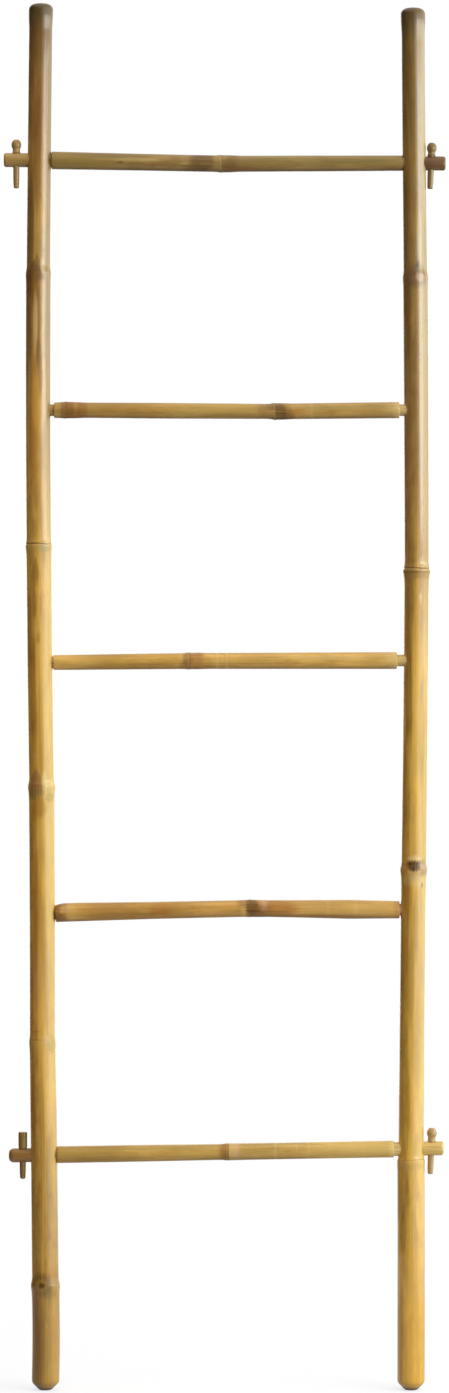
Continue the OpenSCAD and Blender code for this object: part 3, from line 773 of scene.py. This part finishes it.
# How far the skin's unevenness sinks, and half a cane's usual thickness, for the widths of its marks
cane_unevenness, cane_mean_radius, cane_corners = 0.12, 9, 72
cane_marks = {
    "top": [
        (-242, 0, 22, 60, 0, "#cda75e", 0.85), (240, 0, 22, 60, 0, "#72532f", 0.9),
        (234, 0, 6, 60, 0, "#5c3a20", 0.5), (-165, 0, 40, 60, 0, "#a68a48", 0.6),
        (110, 30, 90, 9, 0, "#93884a", 0.5), (-25, 10, 14, 12, 0.2, "#5f4522", 0.7),
        (-34, -50, 12, 8, 0, "#6d5028", 0.5), (-24, 80, 12, 9, 0, "#6d5028", 0.5),
        (-8, 25, 5, 9, 0, "#b5955c", 0.6), (6, -30, 9, 9, 0.2, "#6e4c28", 0.6),
        (10, 30, 6, 7, 0, "#775632", 0.5), (20, -60, 20, 5, 0, "#8c4f34", 0.4),
        (40, 0, 60, 3, 0, "#8f7440", 0.3), (-130, 40, 50, 3, 0, "#6a5a30", 0.35),
        (-120, -10, 3, 1.6, 0, "#4a2f16", 0.7), (150, 10, 40, 2.5, 0, "#7a6a3a", 0.4),
        (30, 180, 30, 12, 0, "#6d5028", 0.4),
    ],
    "upper": [
        # The pale band at 204 mm is painted light, lifting the stile's shadow off the bare right tenon
        (230, 0, 40, 60, 0, "#e2c78c", 0.6), (204, 0, 7, 60, 0, "#e8c688", 0.9),
        (-125, 0, 45, 60, 0, "#ae853f", 0.6), (-15, 0, 50, 60, 0, "#cfb062", 0.5),
        (-186, 0, 5, 60, 0, "#a8844a", 0.5), (-177, 0, 11, 60, 0, "#a06a2a", 0.65),
        (-187.5, 0, 0.8, 60, 0, "#7a4f20", 0.5), (-180, 10, 5, 12, 0, "#8a5826", 0.6),
        (-166, 0, 7, 60, 0, "#98642a", 0.7), (-172, 0, 1.2, 60, 0, "#d0a25c", 0.5),
        (-176, -40, 8, 8, 0, "#8f5c26", 0.5), (-170, 160, 8, 12, 0, "#8f5c26", 0.4),
        (65, -10, 7, 11, 0.2, "#5e4016", 0.85), (72, -50, 8, 9, -0.2, "#5e401a", 0.75),
        (73, 20, 3, 6, 0, "#a07c3c", 0.6), (56, 60, 8, 8, 0, "#7a5a2e", 0.6),
        (46, 10, 8, 9, 0, "#8f6f40", 0.4), (65, 170, 9, 14, 0, "#6b4721", 0.6),
        (99, 0, 1.3, 60, 0, "#ecd6a4", 0.9), (85, -20, 10, 6, 0, "#b5772f", 0.4),
        (20, -40, 45, 3, 0, "#7a5a2c", 0.35), (130, 20, 50, 2.5, 0, "#a9a062", 0.4),
    ],
    "middle": [
        (-242, 0, 40, 60, 0, "#e6c98c", 0.6), (230, 0, 40, 60, 0, "#e8cf98", 0.6),
        # Painted light on the bare right tenon, lifting the stile's shadow off it
        (203, 0, 7, 60, 0, "#e4c278", 0.9),
        *[(x, 0, 1.1, 60, 0, "#f0d496", 0.4) for x in (-34, -21, -8, 3)],
        (-105, 0, 50, 60, 0, "#bd9240", 0.6), (-42, 20, 6, 10, 0.2, "#8a5a26", 0.65),
        (-46, -50, 7, 8, 0, "#9a6a30", 0.5), (-33, 0, 7, 11, 0, "#a46a2a", 0.65),
        (-31, 25, 2, 5, 0, "#e2b672", 0.5), (-26, -20, 11, 10, 0, "#a9773a", 0.5),
        (-30, 50, 5, 6, 0, "#8a5a2a", 0.5), (-40, 175, 8, 12, 0, "#8a5a26", 0.5),
        (60, -30, 60, 3, 0, "#8a6430", 0.3), (120, 20, 50, 2.5, 0, "#e8c987", 0.4),
        (-110, -40, 50, 4, 0, "#8a6430", 0.35),
    ],
    "lower": [
        (-100, 0, 60, 60, 0, "#b0833c", 0.7), (145, 0, 60, 60, 0, "#e0b668", 0.7),
        *[(x, 0, 1.1, 60, 0, "#ecc98c", 0.4) for x in (106, 118, 131, 150, 163)],
        # At the left shoulder the dark marks are painted shade, darkest underneath, and the pale ones on top
        # are painted highlights
        (-198, 0, 2, 60, 0, "#7a4a22", 0.45), (-195, 0, 5, 60, 0, "#8e5c28", 0.6),
        (-192, -50, 8, 8, 0, "#5e3a18", 0.6), (-190, 55, 8, 6, 0, "#7a4e24", 0.5),
        (-182, 25, 7, 4, 0, "#e6bc80", 0.5), (-190, -60, 10, 7, 0, "#6b4520", 0.5),
        (-183, 0, 0.9, 60, 0, "#8a5a2a", 0.35), (-176, 10, 6, 9, 0, "#e0b870", 0.4),
        (-74, 5, 13, 7, 0, "#a8692a", 0.5), (-120, 5, 10, 6, 0, "#b5803c", 0.35),
        (58, 10, 24, 9, 0, "#a8642a", 0.6), (92, 0, 0.8, 60, 0, "#9a6c34", 0.4),
        (22, 0, 3.5, 14, 0, "#e8bc70", 0.6), (32, 15, 7, 12, 0.3, "#643c14", 0.9),
        (38, -45, 8, 8, -0.3, "#6c431a", 0.85), (22, 60, 7, 7, 0, "#7d5628", 0.6),
        (45, 30, 4, 7, 0, "#d8b090", 0.7), (136, -62, 60, 5, 0, "#86583a", 0.45),
        (203, 0, 7, 60, 0, "#b4784a", 0.5), (46, -20, 9, 7, 0, "#8d5f30", 0.5),
        (60, -50, 16, 6, 0, "#9a6f38", 0.5), (30, 175, 9, 14, 0, "#6e4820", 0.6),
        (-120, -30, 40, 4, 0, "#8a5f2c", 0.4), (110, 50, 60, 4, 0, "#9a7a40", 0.4),
        (100, -60, 70, 4, 0, "#8a5f2c", 0.4),
    ],
    "bottom": [
        (-240, 0, 22, 60, 0, "#976b2a", 0.9), (-254, 0, 6, 60, 0, "#7d6238", 0.5),
        # The pale band at 200 mm is painted light, lifting the stile's shadow off the bare right tenon
        (240, 0, 22, 60, 0, "#f0ce78", 0.9), (200, 0, 10, 60, 0, "#ffe49a", 1),
        *[(x, 0, 1.1, 60, 0, "#e8cf90", 0.4) for x in (-20, 58, 84, 97, 122, 160)],
        (-165, 0, 50, 60, 0, "#a8863f", 0.7), (-60, 0, 60, 60, 0, "#c09a4a", 0.4),
        (150, 0, 45, 60, 0, "#e6c474", 0.8), (-2, 0, 5, 15, 0, "#a8702e", 0.55),
        (15, -5, 4, 14, 0, "#dcae84", 0.5), (0, 10, 4.5, 11, 0.2, "#a5702a", 0.7),
        (2, -50, 4, 8, 0, "#8a6028", 0.6), (2, 160, 5, 14, 0, "#8a6028", 0.5),
        (10, 0, 5, 20, 0, "#dfbf86", 0.6), (-60, 40, 50, 3, 0, "#8f7a40", 0.4),
        (40, -50, 60, 3, 0, "#8f7a40", 0.4), (-130, -30, 40, 3, 0, "#8a6430", 0.35),
        (110, -20, 50, 3, 0, "#c9a257", 0.4),
    ],
}
# Every cane has painted shade along its underside, in brown, and is greyer along its top
painted_underside_shade_and_grey_top = [(0, -84, 400, 5.5, 0, "#6b4c22", 0.42), (0, 84, 400, 5, 0, "#88804f", 0.42)]
cane_skin = grown_skin("varnished_cane_skin", 0.5, 0.2, 0.3, "#8f6529", {
    0: "#d8b05d", 275: "#dcb664", 552: "#e2af5b", 840: "#f5c568", 1131: "#d3a95b", 1418: "#aa8b52",
})


def shaved_cane(name, tones):
    """Cane with its skin shaved off: paler and drier, its straight fibres bared in fine lines."""
    material, tree = blank_material(name)
    grain = add(tree, "ShaderNodeAttribute", attribute_name="grain").outputs["Vector"]
    tone = tone_by_height(tree, tones)
    # Bared fibres stand 0.9 mm apart and run unbroken for 30 mm
    place = add(tree, "ShaderNodeVectorMath", {0: grain, 1: (1100, 1100, 33)}, operation="MULTIPLY")
    fibre = add(tree, "ShaderNodeTexNoise", {"Vector": place.outputs[0], "Scale": 1.0, "Detail": 3.0})
    lines = add(tree, "ShaderNodeMapRange", {
        "Value": fibre.outputs["Fac"], "From Min": 0.4, "From Max": 0.7, "To Min": 0.0, "To Max": 0.55,
    })
    mark = add(tree, "ShaderNodeAttribute", attribute_name="mark")
    # The marks' colours go over the tone: peg wood colours, and painted light on the tenons
    marks_and_painted_light = add(tree, "ShaderNodeMix", {
        "Factor": mark.outputs["Alpha"], "A": tone, "B": mark.outputs["Color"],
    }, data_type="RGBA")
    colour = add(tree, "ShaderNodeMix", {
        "Factor": lines.outputs[0], "A": marks_and_painted_light.outputs["Result"], "B": linear("#7c5427"),
    }, data_type="RGBA")
    relief = add(tree, "ShaderNodeBump", {
        "Height": fibre.outputs["Fac"], "Strength": 0.5, "Distance": 0.00015,
    })
    surface = add(tree, "ShaderNodeBsdfPrincipled", {
        "Base Color": colour.outputs["Result"], "Roughness": 0.42, "Normal": relief.outputs["Normal"],
        "Coat Weight": 0.35, "Coat Roughness": 0.25,
    })
    add(tree, "ShaderNodeOutputMaterial", {"Surface": surface.outputs["BSDF"]})
    return material


tenon_wood = shaved_cane("shaved_cane_tenon", {
    0: "#b98a4c", 275: "#b5864a", 552: "#d9b070", 840: "#dcb474", 1131: "#d0a868", 1418: "#9c783f",
})
cane_end = cut_grain("sawn_cane_end", "#b28c55", "#553618")
# Each peg: the gap from its head to the stile, its lean to the right in degrees, how far its tail
# hangs below the tenon, whether its head is a ball, and its wood's colour
pegs = {
    "top_left": (7.1, 0, 24.5, True, "#c9a864"),
    "top_right": (0.6, 2.5, 21.5, True, "#8a6f3e"),
    "bottom_left": (3.8, 0, 19, False, "#94793c"),
    "bottom_right": (3.4, 2.2, 21.5, True, "#c9a976"),
}
# The shank's radius, its bore's length up and down from the tenon's middle, the widths of a ball head
# and a plain head, and a ball's middle over its seat
peg_radius, peg_bore_reach, ball_width, plain_width, ball_middle = 3.7, 30, 11.6, 10.4, 9


def culm_side(side, rung):
    """The inner and outer faces of a stile where a rung meets it."""
    at = meeting_height(side, rung)
    half = plain_radius(side, at, 0.01)
    middle = stile_x[side] + np.interp(at, *culm_joints[side][:, :2].T)
    return (middle + half, middle - half) if side == "left" else (middle - half, middle + half)


def peg_frame(name):
    """The middle of the peg's hole in the tenon line, and the peg's lean in radians."""
    rung, side = name.split("_")
    gap, lean, _, ball, _ = pegs[name]
    lean = math.radians(lean)
    outer = culm_side(side, rung)[1]
    if side == "left":
        x = outer - gap - (ball_width if ball else plain_width) / 2
    else:
        x = outer + gap + ball_width / 2 - (through_radius + ball_middle) * math.tan(lean)
    return on_rung_line(rung, x), lean


for rung in rung_lines:
    keyed = rung in keyed_rungs
    left_inner, left_outer = culm_side("left", rung)
    right_inner, right_outer = culm_side("right", rung)
    bare = bare_tenon[rung]
    start, end = left_inner + shoulder_gap + bare[0], right_inner - shoulder_gap - bare[1]
    if keyed:
        tenon, tips = through_radius, (left_outer - keyed_reach[rung][0], right_outer + keyed_reach[rung][1])
    else:
        tenon, tips = socket_radius, (left_inner - short_tenon_reach, right_inner + short_tenon_reach)
    rounds = end_rounds.get(rung, (short_tenon_round, short_tenon_round))
    joints = cane_joints[rung]
    stations = [start] + [stile_x["left"] + joint[0] for joint in joints] + [end]
    offsets = [0] + [joint[1] for joint in joints] + [0]
    places, girths = [], []
    for first, last, widths in zip(stations[:-1], stations[1:], cane_girths[rung]):
        places += list(np.linspace(first + 0.8, last - 0.8, len(widths)))
        girths += [width / 2 for width in widths]
    # Rings of points along the cane, close together over each joint
    xs = [np.linspace(start + 1.2, end - 1.2, 112)]
    for at in stations[1:-1]:
        xs[0] = xs[0][np.abs(xs[0] - at) > 12]
        xs.append(at + np.array([-12, -9, -7, -5, -4, -3, -2.3, -1.6, -1.1, -0.7, -0.35, 0, 0.3, 0.6, 1,
                                 1.4, 2.2, 3, 4, 5.5, 7.5, 10]))
    xs = np.unique(np.round(np.concatenate(xs), 2))
    xs = xs[np.concatenate([[True], np.diff(xs) > 0.25])]
    turn = np.arange(cane_corners) * 2 * math.pi / cane_corners
    along, angle = np.meshgrid(xs, turn, indexing="ij")
    radius = np.interp(along, places, girths)
    for joint in joints:
        # The scar line wanders half a millimetre to and fro on its way round
        off = along - stile_x["left"] - joint[0]
        off = off - 0.5 * np.sin(angle + joint[0]) * np.clip(1 - np.abs(off) / 12, 0, 1)
        radius = radius + (joint[2] / 2 - radius) * eased(off, *cane_outline.T)
    # The unevenness is that of the thick culms, on a smaller scale
    radius = radius - cane_unevenness * (1 - waver(along * 1.7, angle, len(rung) + 5)) / 2
    radius = radius - worn_shoulder.get(rung, 0) * (1 + np.sin(angle)) * np.exp(-(along - start) / 6)
    lift = np.interp(along, stations, offsets)
    middle = on_rung_line(rung, along)
    cane = np.stack([
        along, middle[..., 1] - radius * np.cos(angle), middle[..., 2] + lift + radius * np.sin(angle),
    ], -1)
    # Each end from its tip in: the rounded tip, the tenon's length, then the cane's rounded shoulder
    ends = []
    for tip, shoulder, cap, inward, edge in (
        (tips[0], start, rounds[0], 1, radius[0].min()), (tips[1], end, rounds[1], -1, radius[-1].min()),
    ):
        shape = [[tip, 2.5], [tip, tenon - cap - 0.4]]
        shape += [[tip + inward * cap * (1 - math.sin(a)), tenon - cap + cap * math.cos(a)]
                  for a in np.radians([80, 60, 45, 30, 15, 0])]
        shape += [[x, tenon] for x in np.arange(0.12, 0.95, 0.12) * (shoulder - tip) + tip]
        rise = max(edge - tenon, 0.25)
        shape += [[shoulder - inward * 0.02, tenon]]
        shape += [[shoulder + inward * min(0.9, rise * 0.6) * (1 - math.cos(a)), tenon + rise * math.sin(a)]
                  for a in np.radians([20, 45, 65, 80])]
        made = []
        for x, r in shape:
            _, y, z = on_rung_line(rung, x)
            made.append(np.stack([np.full(cane_corners, x), y - r * np.cos(turn), z + r * np.sin(turn)], -1))
        ends.append(np.stack(made))
    piece = ring_solid(f"{rung}_rung_cane", np.concatenate([ends[0], cane, ends[1][::-1]]))
    if keyed:
        drills = []
        for side in ("left", "right"):
            spot, lean = peg_frame(f"{rung}_{side}")
            reach = peg_bore_reach * np.array([math.sin(lean), 0, math.cos(lean)])
            drills.append(drill(spot - reach, spot + reach, peg_radius + running_fit, 40))
        bore(piece, drills)
    mesh = piece.data
    points = places_of(mesh.vertices, "co")
    line = on_rung_line(rung, points[:, 0])
    depth = points[:, 1] - line[:, 1]
    rise = points[:, 2] - line[:, 2] - np.interp(points[:, 0], stations, offsets)
    over = points[:, 0][:, None] - (stile_x["left"] + np.array(joints)[:, 0])
    over = over[np.arange(len(points)), np.abs(over).argmin(1)]
    small = weathering(
        seed=31 + len(rung), specks=14, speck_span=(start, end), speck_size=(0.4, 1.1), squat=0.7,
        stains=24, stain_span=(start, end), half_long=(8, 40), half_wide=(0.9, 1.8),
        shades=("#7d5a28", "#8a7a3e", "#efd38c"),
    )
    marks = marked(points[:, 0], np.arctan2(rise, -depth), cane_mean_radius, painted_underside_shade_and_grey_top + small + cane_marks[rung])
    lay_field(mesh, "grain", np.column_stack([depth, rise, points[:, 0]]) * mm)
    lay_field(mesh, "over_scar", over * mm)
    lay_field(mesh, "rise", points[:, 2] / full_height)
    lay_field(mesh, "scar", np.full(len(points), 0.55))
    lay_field(mesh, "mark", marks)
    for material in (cane_skin, tenon_wood, cane_end):
        mesh.materials.append(material)
    # The skin ends at the shoulders, and faces well inside the tenon are its sawn end or the peg's hole
    middles = places_of(mesh.polygons, "center")
    line = on_rung_line(rung, middles[:, 0])
    off = np.hypot(middles[:, 1] - line[:, 1], middles[:, 2] - line[:, 2])
    shaved = (middles[:, 0] < start + 0.6) | (middles[:, 0] > end - 0.6)
    sawn = (off < tenon - 1.3) & shaved
    slots = np.where(sawn, 2, np.where(shaved, 1, 0))
    mesh.polygons.foreach_set("material_index", slots.astype(np.int32))
    smoothed(mesh)
    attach(piece, "frame" if keyed else f"{rung}_rung")
    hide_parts(f"{rung}_rung")

# The four draw pegs are whittled from split bamboo: a round shank that passes down through the tenon
# just outside the stile, a tail that hangs below it, and a turned ball or a plain knob for a head.
peg_wood = shaved_cane("whittled_peg_wood", {
    0: "#8a6c38", 256: "#8f6f3a", 320: "#a88448", 1360: "#a88448", 1600: "#b08a4e",
})
# The gap under a head, how far the head stands out past the shank, and how deep the knife's facets go
seat_gap, head_ledge, knife_depth, peg_corners = 0.2, 1.2, 0.05, 48
for name, (_, _, tail, ball, shade) in pegs.items():
    spot, lean = peg_frame(name)
    rung = name.split("_")[0]
    slope = abs(lean + math.atan(rung_lines[rung][1] / stile_spacing))
    seat = through_radius + seat_gap + (peg_radius + head_ledge) * math.tan(slope)
    tip = -through_radius - tail
    # Radius and height: the eased tip, the slightly tapered tail, the shank in its hole, then the head
    outline = [[1, tip], [2, tip + 0.1], [2.7, tip + 0.5], [3.1, tip + 1.2], [3.2, tip + 2]]
    outline += [[eased(z, [tip + 2, tip + 8, -through_radius], [3.2, 3.5, 3.66]), z]
                for z in np.linspace(tip + 3, -9, 12)]
    outline += [[3.68, z] for z in np.linspace(-8, seat - 0.4, 8)]
    if ball:
        head = [[4.86, 0], [4.6, 1], [4.3, 2.5]]
        head += [[5.78 - 6 * (1 - math.cos(a)), ball_middle + 6 * math.sin(a) / math.sin(math.radians(60))]
                 for a in np.radians(np.arange(-40, 61, 10))]
        head += [[2.2, 15], [1, 15]]
    else:
        head = [[4.86, 0], [5.05, 1.2], [5.16, 2.5], [5.12, 8], [5.15, 14]]
        head += [[5.15 - 1.6 * (1 - math.cos(a)), 16.9 + 1.6 * math.sin(a)]
                 for a in np.radians([0, 20, 40, 60, 80])]
        head += [[3, 18.45], [1, 18.5]]
    outline += [[r, seat + z] for r, z in head]
    turn = np.arange(peg_corners) * 2 * math.pi / peg_corners
    rings = []
    for r, z in outline:
        # The knife left seven slightly winding facets, worn away inside the hole
        facets = knife_depth * np.cos(7 * turn + 0.12 * z) if z > seat + 0.5 or z < -10 else 0
        cut = r - 0.04 + facets * min(1, r / 4)
        rings.append(np.stack([cut * np.sin(turn), -cut * np.cos(turn), np.full(len(turn), z)], -1))
    rings = np.stack(rings)
    tilt = np.array([[math.cos(lean), 0, math.sin(lean)], [0, 1, 0], [-math.sin(lean), 0, math.cos(lean)]])
    piece = ring_solid(f"peg_{name}_whittled", rings @ tilt.T + spot)
    mesh = piece.data
    points = places_of(mesh.vertices, "co")
    lay_field(mesh, "grain", ((points - spot) @ tilt) * mm)
    lay_field(mesh, "rise", points[:, 2] / full_height)
    lay_field(mesh, "mark", np.tile([*linear(shade)[:3], 0.85], (len(points), 1)))
    mesh.materials.append(peg_wood)
    smoothed(mesh)
    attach(piece, f"peg_{name}")
    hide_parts(f"peg_{name}")

# The floor under the feet is a round sheet of pale matte studio paper, white to the camera but still
# taking the ladder's soft shadow.
floor_mesh = bpy.data.meshes.new("floor")
floor_ring = [(0.9 * math.cos(a), 0.9 * math.sin(a), 0) for a in np.arange(64) * 2 * math.pi / 64]
floor_mesh.from_pydata(floor_ring, [], [tuple(range(64))])
floor = placed("floor", floor_mesh)


def seen_rays(tree):
    """The light path, and whether a ray comes from the camera or by way of a gloss or a clear piece."""
    ray = add(tree, "ShaderNodeLightPath")
    seen = ray.outputs["Is Camera Ray"]
    for kind in ("Is Glossy Ray", "Is Transmission Ray"):
        seen = add(tree, "ShaderNodeMath", {0: seen, 1: ray.outputs[kind]}, operation="MAXIMUM").outputs[0]
    return ray, seen


# The paper takes the shadow, and a glow that only these rays see lifts it to white
paper, tree = blank_material("pale_studio_paper")
ray, seen = seen_rays(tree)
lift = add(tree, "ShaderNodeMath", {0: seen, 1: 0.72}, operation="MULTIPLY")
dull = add(tree, "ShaderNodeMath", {0: ray.outputs["Is Glossy Ray"], 1: 0.33}, operation="MULTIPLY")
lift = add(tree, "ShaderNodeMath", {0: lift.outputs[0], 1: dull.outputs[0]}, operation="SUBTRACT")
matte = add(tree, "ShaderNodeBsdfDiffuse", {"Color": linear("#a3a19d")})
glow = add(tree, "ShaderNodeEmission", {"Color": (0.88, 0.92, 1, 1), "Strength": lift.outputs[0]})
both = add(tree, "ShaderNodeAddShader", {0: matte.outputs[0], 1: glow.outputs[0]})
add(tree, "ShaderNodeOutputMaterial", {"Surface": both.outputs[0]})
floor_mesh.materials.append(paper)

# Studio light: a long softbox high on the right for the bright band on the upper culms, its ends
# feathered, dim panels under it that carry the glow down to the feet, and a white backdrop.
world = bpy.data.worlds.new("studio")
bpy.context.scene.world = world
world.use_nodes = True
tree = world.node_tree
tree.nodes.clear()
_, seen = seen_rays(tree)
# The object itself is lit a little warm, and from above more than from below
toward = add(tree, "ShaderNodeSeparateXYZ", {"Vector": add(tree, "ShaderNodeTexCoord").outputs["Generated"]})
soft = add(tree, "ShaderNodeMapRange", {
    "Value": toward.outputs["Z"], "From Min": -0.3, "To Min": 0.03, "To Max": 1.1,
})
fill = add(tree, "ShaderNodeMapRange", {"Value": seen, "To Min": soft.outputs[0], "To Max": 1.0})
warmth = add(tree, "ShaderNodeMix", {
    "Factor": seen, "A": (1, 0.88, 0.72, 1), "B": (1, 1, 1, 1),
}, data_type="RGBA")
sky = add(tree, "ShaderNodeBackground", {"Color": warmth.outputs["Result"], "Strength": fill.outputs[0]})
add(tree, "ShaderNodeOutputWorld", {"Surface": sky.outputs[0]})
lamp_distance = 3.4


def soft_lamp(name, from_angle, to_angle, low, high, radiance):
    """An upright light panel at the lamps' distance, between two angles to the right of the front."""
    near, far = (
        Vector((lamp_distance * math.sin(a), -lamp_distance * math.cos(a), 0))
        for a in map(math.radians, (from_angle, to_angle))
    )
    width, height = (far - near).length, high - low
    lamp = bpy.data.lights.new(name, "AREA")
    lamp.shape, lamp.size, lamp.size_y = "RECTANGLE", width, height
    lamp.energy, lamp.color = radiance * width * height * math.pi, (0.92, 0.99, 1)
    holder = placed(name, lamp)
    holder.location = (near + far) / 2 + Vector((0, 0, (low + high) / 2))
    holder.rotation_euler = (-(near + far)).to_track_quat("-Z", "Y").to_euler()


# From the ladder's front round to its right: two angles, then the upper and the lower panel's light
for number, (from_angle, to_angle, bright, dim) in enumerate((
    (20, 29, 0.9, 0.8), (29, 37, 2.6, 1.2), (37, 66, 7.5, 1.45), (66, 92, 5.4, 0.9), (92, 122, 2.0, 0.5),
)):
    soft_lamp(f"softbox_{number}", from_angle, to_angle, 1.12, 2.1, bright)
    soft_lamp(f"low_panel_{number}", from_angle, to_angle, -0.9, 1.1, dim)
soft_lamp("back_panel", 150, 215, 0.05, 2.2, 1.0)

# Black felt cards stand on the left and beside the camera, and one lies under the floor. The camera
# doesn't see them. They keep the culms' shaded sides dark and clear.
card_black, tree = blank_material("black_card")
felt = add(tree, "ShaderNodeBsdfDiffuse", {"Color": linear("#0a0a0a")})
add(tree, "ShaderNodeOutputMaterial", {"Surface": felt.outputs[0]})
for name, corners in (
    ("left_card", [(-2.2, 2.6, 1.4), (-2.2, -3.0, 1.4), (-2.2, -3.0, 4), (-2.2, 2.6, 4)]),
    ("low_left_card", [(-2.2, 2.6, -1), (-2.2, -3.0, -1), (-2.2, -3.0, 1.4), (-2.2, 2.6, 1.4)]),
    ("front_card", [(-2.2, -3.0, -1), (0.75, -3.5, -1), (0.75, -3.5, 4), (-2.2, -3.0, 4)]),
    ("under_card", [(-3.5, -3.5, -1), (3.5, -3.5, -1), (3.5, 3.5, -1), (-3.5, 3.5, -1)]),
):
    sheet = bpy.data.meshes.new(name)
    sheet.from_pydata(corners, [], [(0, 1, 2, 3)])
    sheet.materials.append(card_black)
    card = placed(name, sheet)
    card.visible_camera = False
    card.visible_diffuse = card.visible_shadow = name in ("under_card", "low_left_card")

# The camera stands level in front of the ladder, far enough back that both stiles look upright. The
# photograph is 1.609 m high at the ladder.
lens_distance, view_height, sensor = 4.5, 1.609, 36
camera_data = bpy.data.cameras.new("camera")
camera_data.sensor_fit, camera_data.sensor_height = "VERTICAL", sensor
camera_data.lens = sensor * lens_distance / view_height
camera = placed("camera", camera_data)
camera.location = (-0.0002, -lens_distance, 0.8004)
camera.rotation_euler = (math.radians(90), 0, 0)
bpy.context.scene.camera = camera
bpy.context.scene.view_settings.view_transform = "Standard"

bpy.context.view_layer.update()
